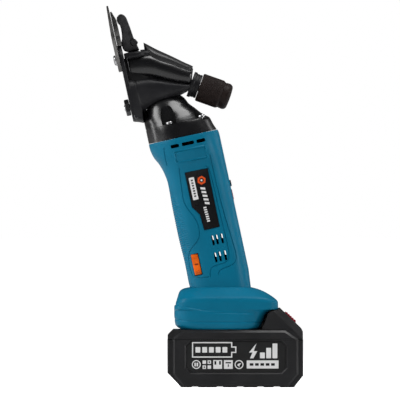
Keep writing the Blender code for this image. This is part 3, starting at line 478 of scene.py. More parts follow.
BUTTON_Z, LIGHT_Z = -48.0, -58.0
SCREWS = ((-13.5, -79.0, 8.5), (22.5, -79.0, 8.5), (21.0, -122.0, 8.5))      # (x, z, seat)
FOOT_SCREWS = ((-41.0, 66.0, 20.0), (24.5, 73.0, 20.0))
RAIL_WAY = ((-25, 48), (25, 48), (25, 58.2), (14.2, 58.2), (14.2, 63), (-14.2, 63), (-14.2, 58.2),
            (-25, 58.2))
FAR_SHIFT = (1.0, 4.4)           # the far shell's side slots sit off to one side and higher
CONTOURS = (                     # fine grooves on both flanks
    ((19.2, -20.0), (19.0, -38.2), (19.9, -70.2), (23.2, -105.0), (22.6, -114.0), (18.0, -117.6),
     (7.7, -118.9),
     (4.6, -121.4), (4.6, -123.4)),
    ((12.6, -29.2), (16.4, -29.6), (16.7, -70.4), (17.9, -105.0), (15.2, -114.3), (1.6, -114.7),
     (-1.8, -117.8),
     (-2.6, -123.3)),
    ((-9.2, -25.8), (-10.9, -45.0), (-11.8, -57.9), (-3.4, -73.0), (-3.6, -88.9), (-16.2, -97.7),
     (-18.4, -106.8),
     (-18.0, -119.0), (-14.0, -122.6), (-4.0, -123.2)),
    ((-18.4, -6.2), (-19.2, -14.0), (-19.0, -22.1)),
)
PANEL = ((-10.5, -11.4), (16.6, -12.2), (16.4, -21.8), (-10.4, -21.2), (-10.5, -11.4))
ARC = np.radians([0, 0.5, 1.5, 3.5, 6.5, *np.linspace(10, 170, 49), 173.5, 176.5, 178.5, 179.5, 180])[::-1]


def grip_row(z):
    """Left x, right x, half depth and squareness of the grip at these heights."""
    rows = np.array(GRIP)
    return curve(-rows[:, 0], rows[:, 1:], -np.atleast_1d(z))


def flank(x, z, lift=0.0):
    """How far out the grip's side is at (x, z)."""
    left, right, depth, power = grip_row(z)[0]
    across = (x - (left + right) / 2) / ((right - left) / 2)
    return depth * max(0.0, 1 - abs(across) ** power) ** (1 / power) + lift


def arc_points(left, right, depth, power, side, lift, cut):
    """Half a section, raised by lift along its normal and shrunk evenly by cut."""
    reach = np.linalg.norm(right - left) / 2 - cut
    along = (right - left) / np.linalg.norm(right - left)
    cosine, sine = np.cos(ARC), np.abs(np.sin(ARC))
    across = np.sign(cosine) * np.abs(cosine) ** (2 / power)
    out = sine ** (2 / power)
    facing = np.stack((np.sign(across) * np.abs(across) ** (power - 1) / reach,
                       out ** (power - 1) / (depth - cut)))
    facing /= np.linalg.norm(facing, axis=0)
    flat = across * reach + facing[0] * lift
    y = np.maximum(out * (depth - cut) + facing[1] * lift, GAP / 2)
    centre = (left + right) / 2
    return np.stack((centre[0] + along[0] * flat, side * y, centre[1] + along[1] * flat), axis=1)


def rib_lift(z, across):
    """Grip ribs: rows of rounded ridges round the left edge, reaching furthest at mid-grip."""
    share = (z - RIB_BOTTOM) / (RIB_TOP - RIB_BOTTOM)
    if not 0 < share < 1:
        return np.zeros_like(across)
    edge = -22.0 + 8.5 * sin(pi * share) ** 0.55
    mask = smooth_step((edge - across) / 1.2) * min(1.0, 6 * share, 6 - 6 * share)
    return mask * 0.19 * cos(2 * pi * z / RIB_PITCH)


def foot_lift(z, x):
    """The foot's swept step and the groove under it."""
    step = 63.2 + 7.0 * np.clip((2.0 - x) / 50.0, 0, 1) ** 1.7
    proud = 1.0 * (1 - smooth_step((z - step) / 0.8 + 0.5)) * smooth_step((18.0 - x) / 14.0)
    groove = 56.2 + 2.4 * np.clip((-28.0 - x) / 24.0, 0, 1) ** 1.6
    return proud - 0.45 * np.exp(-(((z - groove) / 0.55) ** 2)) - 0.8 * smooth_step((51.4 - z) / 1.5)


def skins(side):
    """The outer and the inner rows of one half of the housing."""
    heights = np.concatenate((np.linspace(-0.4, -42.0, 34), np.arange(-42.6, -121.4, -0.23),
                              (-122.4, -124.0)))
    outer, inner = [], []
    for z, (left, right, depth, power) in zip(heights, grip_row(heights)):
        sections = (z, np.array((left, z)), np.array((right, z)), depth, power)
        flat = arc_points(*sections[1:], side, 0.0, 0.0)
        lift = rib_lift(z, flat[:, 0]) - 0.35 * smooth_step((z + 2.0) / 1.6)
        lift[[0, -1]] = -SEAM
        outer.append(arc_points(*sections[1:], side, lift, 0.0))
        inner.append(arc_points(*sections[1:], side, 0.0, WALL))
    outer, inner = ([in_world((row, None))[0] for row in rows] for rows in (outer, inner))
    rows = np.array(FOOT)
    levels = np.concatenate((np.linspace(86.0, 75.0, 24), np.arange(74.7, 49.9, -0.33), (49.9,)))
    for z, (left, right, depth, power) in zip(levels, curve(-rows[:, 0], rows[:, 1:], -levels)):
        ends = (np.array((left, z)), np.array((right, z)))
        flat = arc_points(*ends, depth, power, side, 0.0, 0.0)
        lift = foot_lift(z, flat[:, 0])
        lift[[0, -1]] = -SEAM
        outer.append(arc_points(*ends, depth, power, side, lift, 0.0))
        inner.append(arc_points(*ends, depth, power, side, 0.0, WALL))
    return outer, inner


def shell(side):
    """One half of the housing, closed round its rim."""
    loops = [np.concatenate((near, far[::-1])) for near, far in zip(*skins(side))]
    count = len(ARC)
    points, faces = rings(loops, ends=False)
    for row in (0, len(loops) - 1):
        start = row * 2 * count
        for column in range(count - 1):
            far = start + 2 * count - 1 - column
            faces.append([start + column, start + column + 1, far - 1, far])
    return points, faces


def eased(path):
    """A path with its corners cut round."""
    path = np.asarray(path, float)
    for _ in range(2):
        near = path[:-1] * 0.75 + path[1:] * 0.25
        far = path[:-1] * 0.25 + path[1:] * 0.75
        path = np.concatenate((path[:1], np.stack((near, far), axis=1).reshape(-1, 2), path[-1:]))
    return path


def on_flank(path, side, spacing=1.5):
    """Points along an (x, z) path, laid on the grip's side."""
    path = np.asarray(path, float)
    length = np.concatenate(([0.0], np.cumsum(np.linalg.norm(np.diff(path, axis=0), axis=1))))
    at = np.linspace(0, length[-1], max(4, int(length[-1] / spacing)))
    spots = np.stack([np.interp(at, length, path[:, axis]) for axis in (0, 1)], axis=1)
    return np.array([(x, side * flank(x, z), z) for x, z in spots])


def in_world(part):
    """A part of the handpiece's frame, in the world's."""
    turned_part = moved(part, Matrix.Rotation(-TILT, 4, "Y"))
    return turned_part[0] + ORIGIN, part[1]


def edge_windows():
    """The ways through the seam for the speed button, its light and the pack's rails."""
    windows = in_world(joined(block((27.5, -3.3, BUTTON_Z - 3.1), (36, 3.3, BUTTON_Z + 3.1)),
                              block((27.5, -2.6, LIGHT_Z - 4.8), (36, 2.6, LIGHT_Z + 4.8))))
    return windows, plate(RAIL_WAY, 12, 45)


def seam_tongue():
    """The thin tongue that closes the seam between the shells, set back from the groove."""
    strips = []
    for edge in (0, -1):
        loops = []
        for near, far in zip(*skins(-1)):
            start = near[edge] * 0.85 + far[edge] * 0.15
            loops.append([(spot[0], y, spot[2]) for y, spot in
                          ((-0.17, start), (0.17, start), (0.17, far[edge]), (-0.17, far[edge]))])
        strips.append(rings(loops))
    return carve(joined(*strips), *edge_windows())


def openings(side):
    """Everything cut through one shell."""
    slots = [rounded((low, -8.3), (high, -5.3), 0.8) for low,
             high in ((-12.4, -5.3), (-2.6, 8.0), (10.3, 17.8))]
    shift_x, shift_z = FAR_SHIFT if side > 0 else (0.0, 0.0)
    for bottom, centres in ((-97.5, (6.1, 9.7, 14.1)), (-112.3, (5.2, 9.1, 13.8))):
        low = bottom + shift_z
        slots += [rounded((x + shift_x - 0.95, low), (x + shift_x + 0.95, low + 8.5), 0.9) for x in centres]
    ends = sorted((side * 5, side * 45))
    cuts = [prism(outline, *ends) for outline in slots]
    cuts += [block((27.5, -3.3, BUTTON_Z - 3.1), (36, 3.3, BUTTON_Z + 3.1)),
             block((29.8, -2.6, LIGHT_Z - 4.8), (36, 2.6, LIGHT_Z + 4.8))]
    if side < 0:
        x, y, z = ROCKER
        cuts.append(prism(rounded((x - 3.5, z - 9.6), (x + 3.5, z + 9.6), 0.8), -45, y + 5))
        cuts.append(prism(inset(LABEL, -0.35), -45, -LABEL_FLOOR))
    else:
        cuts += [prism(disc((x, z), 3.7), -1, 45) for x, z, _ in SCREWS]
    cuts = [in_world(joined(*cuts))]
    if side > 0:
        cuts.append(joined(*[prism(disc((x, z), 3.7), -1, 45) for x, z, _ in FOOT_SCREWS]))
    cuts.append(plate(RAIL_WAY, 12, 45))
    lines = [tube(on_flank(eased(path), side), 0.55) for path in CONTOURS]
    lines.append(tube(on_flank(PANEL, side, spacing=1.2), 0.45))
    cuts.append(in_world(joined(*lines)))
    return cuts


def make_housing():
    """The two ribbed, grooved clamshell halves."""
    for name, side in (("left_housing", -1), ("right_housing", 1)):
        part = carve(shell(side), *openings(side))
        piece(name + "_shell", part, "housing_teal", replaces=(name,), matrix=WORLD, sharp=38)
    piece("seam_tongue", seam_tongue(), "housing_teal", matrix=WORLD)
    wells = []
    places = [(x, z, seat, True) for x, z, seat in SCREWS] + [(x, z, seat, False) for x, z, seat
                                                              in FOOT_SCREWS]
    for x, z, seat, leaning in places:
        rim = (flank(x, z) if leaning else 34.0) - 1.6
        cup = turned(((3.6, seat - 0.6), (3.6, rim), (3.25, rim), (3.25, seat), (1.6, seat),
                      (1.6, seat - 0.6)), 24, True)
        if leaning:
            spot = in_world((np.array([[x, 0.0, z]]), None))[0][0]
        else:
            spot = (x, 0.0, z)
        wells.append(stand(cup, spot, (0, 1, 0)))
    piece("screw_wells", joined(*wells), "housing_teal", matrix=WORLD)


def mark(outline):
    """A thin print of an (x, z) outline on the near flank."""
    near = [(x, -flank(x, z, PRINT_LIFT), z) for x, z in outline]
    far = [(x, y + PRINT_DEPTH, z) for x, y, z in near]
    return rings((near, far))


def slanted(x, z, wide, tall, lean=0.0):
    """A bar across the label, leaning along it."""
    return [(x, z), (x + wide, z + lean), (x + wide, z + lean - tall), (x, z - tall)]


def make_label():
    """The label plate with its generic marks: no lettering is drawn."""
    skin = [(left, z, right, z, depth, power) for z, (left, right, depth, power)
            in zip(np.linspace(-26, -90, 9), grip_row(np.linspace(-26, -90, 9)))]
    shape = prism(inset(LABEL, 0.1), -40, -LABEL_FLOOR - GAP, 0.0)
    part = carve(shape, ovals(skin, 2.0, 144, 0.35), operation="INTERSECT")
    piece("label_plate_film", part, "label_film", replaces=("label_plate",))
    badge = [(7.4 + 3.9 * cos(pi * k / 3 + 0.3), -40.4 + 3.9 * sin(pi * k / 3 + 0.3)) for k in range(6)]
    hole = disc((7.4, -40.4), 1.9, 20)
    orange = carve(mark(badge), prism(hole, -40, -10))
    piece("label_badge", orange, "rocker_orange", material="print_orange")
    whites = [mark(disc((7.4, -40.4), 0.9, 16))]
    box_outline = rounded((-3.2, -55.8), (1.5, -36.2), 0.5)
    windows = [prism(rounded((-1.7, z - 1.3), (0.1, z), 0.2), -40, -10) for z
               in np.arange(-38.2, -53.5, -2.3)]
    whites.append(carve(mark(box_outline), joined(*windows)))
    for index in range(5):
        whites.append(mark(slanted(5.0 + 0.25 * index, -46.0 - 3.3 * index, 4.0, 1.9, -1.1)))
    for index in range(7):
        whites.append(mark(slanted(4.0 + 0.1 * index, -63.4 - 2.0 * index, 2.6, 1.2)))
    piece("label_print", joined(*whites), "label_film", material="print_white")


def make_controls():
    """Rocker switch, speed button and its light."""
    x, y, z = ROCKER
    side = [(-9.2, -2.5), (-8.2, -3.3), (-5.5, -3.75), (-2.5, -3.35), (0.0, -3.15), (2.5, -3.35),
            (5.5, -3.75),
            (8.2, -3.3), (9.2, -2.5), (8.6, -1.0), (6.5, 1.2), (0.0, 2.4), (-6.5, 1.2), (-8.6, -1.0)]
    rows = []
    for across, cut in ((-3.1, 0.5), (-2.7, 0.0), (2.7, 0.0), (3.1, 0.5)):
        rows.append([(across, depth + (cut if depth < 0 else -cut), height * (1 - cut / 12)) for height,
                     depth in side])
    lean = Matrix.Translation(Vector((x, y, z)) * MM) @ Matrix.Rotation(radians(-5), 4, "X")
    piece("rocker_cap", rings(rows), "rocker_orange", "rocker", ("power_rocker",), TOOL @ lean, bevel=0.25)
    tick = prism(rounded((-1.5, -0.55), (1.5, 0.55), 0.3), -3.3, -3.0)
    ridges = [block((-2.2, -3.95, height - 0.25), (2.2, -3.4, height + 0.25))
              for height in (-6.6, -5.6, 5.6, 6.6)]
    piece("rocker_mark", tick, "rocker_orange", "rocker", matrix=TOOL @ lean, material="print_dark")
    piece("rocker_ridges", joined(*ridges), "rocker_orange", "rocker", matrix=TOOL @ lean, bevel=0.2)
    button = plate(rounded((-3.0, BUTTON_Z - 2.8), (3.0, BUTTON_Z + 2.8), 0.9), 28.8, 32.0)
    grips = [block((31.8, -2.0, BUTTON_Z + height - 0.25), (32.25, 2.0, BUTTON_Z + height + 0.25))
             for height in (-1.4, 0, 1.4)]
    piece("speed_button_cap", joined(button, *grips), "black_moulding", "speed_button_body",
          ("speed_button",), bevel=0.3)
    light = plate(rounded((-2.3, LIGHT_Z - 4.5), (2.3, LIGHT_Z + 4.5), 0.7), 30.1, 31.4)
    piece("indicator_lens", light, "release_red", replaces=("indicator_light",), bevel=0.3)


# ---- Gear housing and head -----------------------------------------------------------

CASE = (                         # (z, left x, right x, half depth, squareness)
    (0.0, -30.5, 29.6, 30.0, 2.3), (5.1, -30.5, 27.6, 29.4, 2.3), (11.8, -30.5, 25.4, 28.2, 2.3),
    (14.2, -30.5, 22.2, 26.6, 2.3), (17.7, -30.5, 18.6, 24.6, 2.2), (22.0, -30.4, 15.1, 22.6, 2.2),
    (27.6, -30.2, 10.3, 19.8, 2.1), (32.0, -29.3, 8.2, 17.0, 2.1), (35.5, -27.1, 5.2, 13.8, 2.0),
    (38.3, -23.8, 1.0, 10.2, 2.0), (40.2, -19.3, -5.0, 6.0, 2.0), (40.7, -16.0, -9.0, 3.0, 2.0),
)
CAVITY = (
    (-1.0, -26.5, 24.0, 15.5, 2.3), (10.0, -26.5, 23.0, 15.5, 2.3), (13.0, -26.5, 17.0, 15.5, 2.3),
    (20.0, -26.5, 10.0, 15.0, 2.3), (27.0, -26.0, 6.0, 14.5, 2.3), (33.0, -24.5, 3.0, 12.0, 2.2),
    (36.8, -20.0, -3.0, 7.5, 2.0),
)
CASE_SCREWS = ((-9.4, 23.6), (19.0, 17.6))
CASE_SEAT = 12.6
PIVOT_Z = 34.5
TENSION_FOOT = Vector((-23.0, 0.0, 67.0))
TENSION_AXIS = Vector((0.851, 0.0, -0.525)).normalized()
# Bodies of the casting: (low x, low z, high x, high z, half depth, squareness, flare)
BED = ((-39.5, 21.8, -39.5, 88.6, 25.0, 3.6, 0.24), (-38.4, 21.2, -38.4, 88.6, 25.0, 3.6, 0.24),
       (-36.4, 20.8, -36.4, 88.2, 24.6, 3.6, 0.24), (-35.9, 21.4, -35.9, 87.4, 24.0, 3.6, 0.24))
WEB = ((-37.0, 20.9, -38.2, 60.2, 24.2, 3.4, 0.05), (-33.0, 19.5, -33.0, 60.1, 23.2, 3.2, 0.04),
       (-30.8, 18.6, -30.8, 59.8, 22.4, 3.0, 0.03), (-29.6, 26.0, -29.6, 59.7, 21.8, 3.0, 0.02),
       (-19.4, 30.8, -19.4, 58.4, 19.6, 2.9), (-8.0, 33.0, -9.5, 54.8, 18.0, 2.8),
       (1.0, 34.6, -0.6, 50.8, 16.8, 2.7), (9.0, 36.4, 7.6, 47.0, 15.4, 2.6),
       (14.0, 38.6, 14.4, 43.6, 13.8, 2.4), (15.0, 39.6, 15.6, 43.0, 12.0, 2.2))
CORE = ((-36.8, 48.0, -36.8, 84.0, 20.0, 3.0, 0.1), (-31.0, 48.0, -31.0, 80.4, 19.4, 3.0, 0.05),
        (-24.0, 47.0, -24.0, 79.8, 17.6, 2.8), (-16.0, 46.0, -16.0, 74.0, 14.0, 2.5),
        (-6.0, 42.0, -3.0, 64.0, 13.2, 2.5), (7.0, 39.0, 10.0, 55.0, 11.6, 2.4),
        (14.6, 39.5, 16.0, 49.0, 10.0, 2.2))
BROW = ((-35.4, 75.0, -35.2, 81.4, 23.4, 4.0), (-32.6, 74.6, -32.4, 81.6, 23.8, 4.0),
        (-26.0, 74.2, -26.0, 81.4, 23.6, 4.0), (-21.4, 74.0, -20.0, 81.0, 22.0, 3.6),
        (-18.6, 73.0, -16.6, 80.6, 19.6, 3.0), (-15.4, 71.0, -13.0, 80.0, 18.4, 2.8))
BARREL = ((-36.0, 58.0, -35.6, 80.0, 19.6, 3.0), (-31.0, 57.6, -30.6, 81.0, 20.6, 2.8),
          (-23.0, 55.6, -21.4, 80.6, 20.6, 2.6), (-16.6, 53.6, -12.8, 79.0, 20.2, 2.5),
          (-8.0, 49.6, -4.0, 73.4, 19.4, 2.4), (-0.2, 45.8, 4.4, 68.4, 18.4, 2.4),
          (8.0, 42.6, 12.0, 62.6, 16.8, 2.3), (14.4, 41.4, 18.4, 57.8, 14.6, 2.2),
          (16.0, 42.2, 20.2, 56.6, 13.2, 2.1), (16.8, 44.0, 20.6, 55.2, 11.6, 2.0))
HOOD = ((-17.0, 80.9, -16.5, 86.7, 10.6, 2.2), (-16.4, 77.2, -13.9, 84.6, 15.0, 2.5),
        (-16.2, 70.4, -8.0, 79.6, 18.0, 2.7), (-13.6, 67.4, -3.6, 76.2, 18.4, 2.8),
        (-7.4, 64.7, 1.6, 72.4, 18.2, 2.8), (1.9, 60.4, 8.4, 67.2, 17.0, 2.8),
        (9.9, 55.4, 15.0, 62.0, 15.2, 2.8), (15.6, 51.9, 20.2, 58.2, 13.0, 2.6),
        (16.6, 51.6, 21.0, 57.4, 11.4, 2.4))
FORK_WAY = ((24.0, -10.4), (45.0, -10.6), (60.0, -11.8), (70.0, -14.4), (76.0, -19.2), (80.0, -21.5),
            (96.0, -26.0))
FORK_SLOT = ((-26.4, 22.5), (-4.0, 22.5), (-4.0, 44.0), (-34.0, 44.0), (-34.0, 32.2), (-26.4, 32.2))
COMB_SCREWS = ((-12.0, 76.5), (12.0, 76.5))
COMB_TEETH, COMB_PITCH, COMB_ROOT, COMB_TIP = 13, 5.9, 94.0, 125.2
CUTTER_POINTS, CUTTER_PITCH = 4, 18.0
CLAW = ((-30.4, 80.9), (-34.4, 83.2), (-35.2, 85.4), (-35.2, 90.6), (-33.9, 93.6), (-33.2, 98.0),
        (-33.0, 102.4),
        (-33.4, 105.9), (-35.0, 108.1), (-35.0, 110.4), (-34.4, 112.4), (-32.6, 114.2), (-30.6,
                                                                                         114.6), (-29.0,
                                                                                                  114.0),
        (-27.5, 112.6), (-26.4, 110.4), (-25.0, 101.6), (-24.0, 92.7), (-22.9, 88.0), (-21.2, 81.1))


def level(rows):
    """(z, left, right, depth, squareness) rows as rows of ovals()."""
    return [(x0, z, x1, z, depth, power) for z, x0, x1, depth, power in rows]


def cross_screw(head, height, shank, length):
    """A pan-head screw along z, with a cross recess; z 0 is under its head."""
    profile = ((0.3, -length), (shank, 1.2 - length), (shank, 0.0), (head, 0.0), (head, height * 0.4),
               (head * 0.94, height * 0.7), (head * 0.78, height * 0.9), (head * 0.5, height), (0.1, height))
    arms = [block((-a, -b, height * 0.45), (a, b, height + 1)) for a, b in
            ((head * 0.62, head * 0.13), (head * 0.13, head * 0.62))]
    return carve(turned(profile, 32), *arms)


def make_gear_housing():
    """The glossy dome over the gears, its pockets and screws."""
    body = ovals(level(CASE), 0.8, 112)
    pockets = []
    for x, y in CASE_SCREWS:
        arch = [(x - 6.2, CASE_SEAT), (x + 6.2, CASE_SEAT), (x + 6.4, 20), (x + 5.0, 25.5), (x + 2.6, 30.2),
                (x, 33.2),
                (x - 2.6, 30.2), (x - 5.0, 25.5), (x - 6.4, 20)]
        if x > 0:
            arch = [(x - 5.4, CASE_SEAT), (x + 14, CASE_SEAT), (x + 14, 20.4), (x - 3.4, 20.4),
                    (x - 5.4, 18.6)]
        pockets += [prism(arch, *sorted((side * (y - 4.4), side * 45))) for side in (-1, 1)]
    ring = ovals(((-30.9, 11.9, 25.2, 11.9, 28.6, 2.3), (-30.9, 12.4, 25.0, 12.4, 28.4, 2.3)), 0.5,
                 96)
    groove = carve(ring, ovals(((-29.9, 11.4, 24.4, 11.4, 27.4, 2.3),
                                (-29.9, 13, 24.2, 13, 27.2, 2.3)), 1, 96))
    body = carve(body, joined(*pockets), ovals(level(CAVITY), 2.0, 48), prism(FORK_SLOT, -11.7, 11.7), groove)
    piece("gear_case", body, "gloss_casting", replaces=("gear_housing",), bevel=0.45, segments=3, sharp=38)
    number = 0
    for x, y in CASE_SCREWS:
        for side in (-1, 1):
            number += 1
            screw = stand(cross_screw(3.1, 2.4, 1.4, 16.0), (x, side * y, CASE_SEAT + GAP), (0, 0, 1))
            piece(f"gear_screw_{number}", screw, "bright_steel", replaces=(f"gear_housing_screw_{number}",))
    for number, (x, z, seat) in enumerate(SCREWS + FOOT_SCREWS, 1):
        spot = np.array((x, 0.0, z))
        if number <= len(SCREWS):
            spot = in_world((spot[None], None))[0][0]
        screw = stand(cross_screw(3.1, 2.2, 1.3, seat + 8), spot + (0, seat + GAP, 0), (0, 1, 0))
        piece(f"shell_screw_{number}", screw, "bright_steel", replaces=(f"housing_screw_{number}",),
              matrix=WORLD)


def make_head():
    """The casting that carries comb, fork and tension pin, with the hood along its front."""
    way = plate([(y, z) for z, y in FORK_WAY] + [(-y, z) for z, y in reversed(FORK_WAY)], -36.6, -20.6)
    dome = ovals(level(CASE), 2.0, 96, 0.35)
    bores = joined(*[stand(turned(((2.0, 0), (2.0, 5.6)), 20), (-41.0, y, z), (1, 0, 0)) for y, z
                     in COMB_SCREWS],
                   stand(turned(((4.4, 0), (4.4, 12)), 24), (-43.0, 0, PIVOT_Z), (1, 0, 0)))
    piece("casting_bed", carve(ovals(BED, 0.6, 112), bores), "satin_casting", replaces=("head_casting",),
          bevel=0.4)
    web = carve(ovals(WEB, 0.7, 96), dome, way, bores)
    piece("casting_web", web, "satin_casting", bevel=0.5, segments=3, sharp=40)
    # the core is coloured darker than the satin casting round it: painted shade for its recess
    piece("casting_core", carve(ovals(CORE, 1.0, 64), dome, way), "satin_casting", material="painted_shade_casting",
          sharp=50)
    piece("casting_brow", carve(ovals(BROW, 0.6, 80), way), "satin_casting", bevel=0.3, sharp=50)
    piece("casting_barrel", carve(ovals(BARREL, 0.7, 96), way), "gloss_casting", sharp=50)
    piece("hood_shell", ovals(HOOD, 0.7, 96), "gloss_casting", replaces=("hood_cover",),
          material="hood_enamel", bevel=0.5, segments=3, sharp=50)
    screws = []
    for side in (-1, 1):
        screws.append(stand(cross_screw(1.9, 0.9, 1.0, 4.0), (-36.0, side * 18.4, 25.2), (0, side, 0)))
    piece("clamp_screws", joined(*screws), "dark_steel")
    wires = []
    for side in (-1, 1):
        wires.append(tube([(-32.6, side * 20.0, 63.0), (-33.4, side * 22.6, 64.5), (-33.5, side * 23.0, 72.0),
                           (-33.6, side * 23.2, 77.0), (-34.2, side * 22.6, 78.6)], 0.65, 10))
    piece("guard_wires", joined(*wires), "dark_steel")
    nut = turned(((6.4, -43.9), (7.2, -43.4), (7.2, -40.2), (6.8, -39.8), (3.6, -39.8), (3.6, -43.7)), 6,
                 True)
    piece("pivot_hex", stand(nut, (0, 0, PIVOT_Z), (1, 0, 0)), "dark_steel", replaces=("pivot_nut",),
          bevel=0.35)
    post = turned(((2.2, -44.6), (2.9, -44.0), (2.9, -39.2), (4.0, -39.0), (4.0, -31.4), (2.4, -30.4)), 32)
    slot = block((-6, -0.5, -46), (6, 0.5, -43.6))
    piece("pivot_stud", stand(carve(post, slot), (0, 0, PIVOT_Z), (1, 0, 0)), "bright_steel",
          replaces=("pivot_post",))


def blade(outline, bottom, thickness):
    """A steel blade from a (y, z) outline; thickness gives its height at each z."""
    near = [(bottom, y, z) for y, z in outline]
    far = [(bottom + thickness(z), y, z) for y, z in outline]
    return rings((near, far))


def make_blades():
    """The comb, its screws, the cutter and the claws that press on it."""
    half = COMB_PITCH * (COMB_TEETH - 1) / 2
    heel = ((half - 8.0, 67.0), (half - 6.6, 76.0), (half - 2.8, 86.0), (half + 1.6, COMB_ROOT))
    outline = [(half - 9.5, 66.4), *heel]
    for tooth in range(COMB_TEETH):
        y = half - tooth * COMB_PITCH
        tip = COMB_TIP - 2.5 * (y / half) ** 2
        side = ((1.55, COMB_ROOT + 3.4), (1.4, COMB_ROOT + 14), (0.95, tip - 4), (0.55, tip - 1.2),
                (0.15, tip - 1.0))
        outline += [(y + wide, z) for wide, z in side] + [(y - wide, z) for wide, z in reversed(side)]
        if tooth < COMB_TEETH - 1:
            outline += [(y - COMB_PITCH / 2 + 0.8, COMB_ROOT + 0.3),
                        (y - COMB_PITCH / 2 - 0.8, COMB_ROOT + 0.3)]
    outline += [(-y, z) for y, z in reversed(heel)] + [(9.5 - half, 66.4)]
    comb = blade(outline, -39.8, lambda z: -2.8 if z < COMB_ROOT + 5 else -2.8 + 0.055 * (z - COMB_ROOT - 5))
    holes = joined(*[stand(turned(((2.3, 0), (2.3, 7)), 24), (-45, y, z), (1, 0, 0)) for y, z in COMB_SCREWS])
    relief = joined(*[block((-43.2, y - 0.8, COMB_ROOT - 12), (-42.2, y + 0.8, COMB_ROOT + 4)) for y in
                      (COMB_PITCH * (k - (COMB_TEETH - 2) / 2) for k in range(COMB_TEETH - 1))])
    piece("comb_plate", carve(comb, holes, relief), "bright_steel", replaces=("comb",),
          material="cutter_steel",
          bevel=0.22)
    for name, (y, z) in zip(("left_comb_screw", "right_comb_screw"), COMB_SCREWS):
        screw = stand(cross_screw(4.3, 2.0, 1.7, 7.0), (-42.9, y, z), (-1, 0, 0))
        piece(name + "_cross", screw, "bright_steel", replaces=(name,))
    span = CUTTER_PITCH * (CUTTER_POINTS - 1) / 2
    heel = ((10.0, 89.7), (18.0, 87.6), (20.4, 87.8), (22.0, 91.0), (span - 1.0, 94.6), (span + 1.6, 96.6),
            (span + 2.6, 99.6))
    outline = [(0.0, 90.5), *heel]
    for index in range(CUTTER_POINTS):
        y = span - index * CUTTER_PITCH
        side = ((2.4, 104.0), (1.7, 111.0), (0.9, 117.2), (0.4, 118.0))
        outline += [(y + wide, z) for wide, z in side] + [(y - wide, z) for wide, z in reversed(side)]
        if index < CUTTER_POINTS - 1:
            outline += [(y - 6.4, 102.4), (y - CUTTER_PITCH / 2, 101.2), (y - 11.6, 102.4)]
    outline += [(-y, z) for y, z in reversed(heel)]
    cutter = blade(outline, -39.2, lambda z: 3.9 if z < 112 else 1.5)
    piece("cutter_plate", cutter, "bright_steel", "fork_assembly", ("cutter",), material="cutter_steel",
          bevel=0.22)
    for name, side in (("left_claw", -1), ("right_claw", 1)):
        rows = [[(x, side * (edge + max(0.0, z - 96.0) * 0.18), z) for x, z in CLAW] for edge in (9.0, 15.5)]
        piece(name + "_arm", rings(rows), "dark_steel", "fork_assembly", (name,), bevel=0.9, segments=3)
    pin = [turned(((0.1, -16.9), (1.9, -16.9), (1.9, 16.9), (0.1, 16.9)), 24)]
    for end in (-1, 1):
        pin.append(turned([(radius, end * (15.8 + z)) for radius, z in
                           ((0.2, 0.0), (3.4, 0.0), (3.4, 2.2), (2.8, 2.9), (0.2, 2.9))], 6))
    piece("claw_pin", stand(joined(*pin), (-24.6, 0, 88.2), (0, 1, 0)), "dark_steel", "fork_assembly",
          sharp=25)
    yoke = ((-22.0, 25.6, -6.0, 25.6, 10.0, 5.0), (-24.2, 29.0, -9.0, 29.0, 9.6, 5.0),
            (-25.2, 31.8, -13.5, 31.8, 9.2, 5.0), (-28.6, 35.0, -18.5, 35.0, 8.4, 5.0),
            (-30.0, 42.0, -22.4, 42.0, 6.4, 5.0), (-30.2, 60.0, -23.4, 60.0, 6.4, 5.0),
            (-30.3, 70.0, -23.4, 70.0, 7.4, 5.0), (-30.5, 77.0, -22.6, 77.0, 12.6, 5.0),
            (-30.6, 80.6, -22.0, 80.6, 14.2, 5.0))
    tines = [block((-15, min(a, b), 15.2), (-7, max(a, b), 28)) for a, b in ((-9.4, -7.0), (7.0, 9.4))]
    piece("fork_bar", carve(ovals(yoke, 1.0, 48), *tines, operation="UNION"), "satin_casting",
          "fork_assembly", ("fork",),
          bevel=0.4)


def knurled(profile, ridges, depth, columns):
    """A turned shape whose marked stretches carry a diamond knurl: (radius, z, knurled) rows."""
    rows = []
    for (r0, z0, k0), (r1, z1, k1) in zip(profile, profile[1:]):
        steps = max(1, int(abs(z1 - z0) / 0.3)) if k0 and k1 else 1
        rows += [(r0 + (r1 - r0) * s / steps, z0 + (z1 - z0) * s / steps, k0 and k1) for s in range(steps)]
    rows.append(profile[-1])
    angle = np.arange(columns) * 2 * pi / columns
    loops = []
    for radius, z, cut in rows:
        round_it, along = ridges * angle / 2, pi * z / 1.9
        pattern = np.abs(np.sin(round_it + along)) * np.abs(np.sin(round_it - along))
        wide = radius + (depth * (pattern - 0.6) if cut else 0.0)
        loops.append(np.stack((wide * np.cos(angle), wide * np.sin(angle), np.full(columns, z)), axis=1))
    return rings(loops)


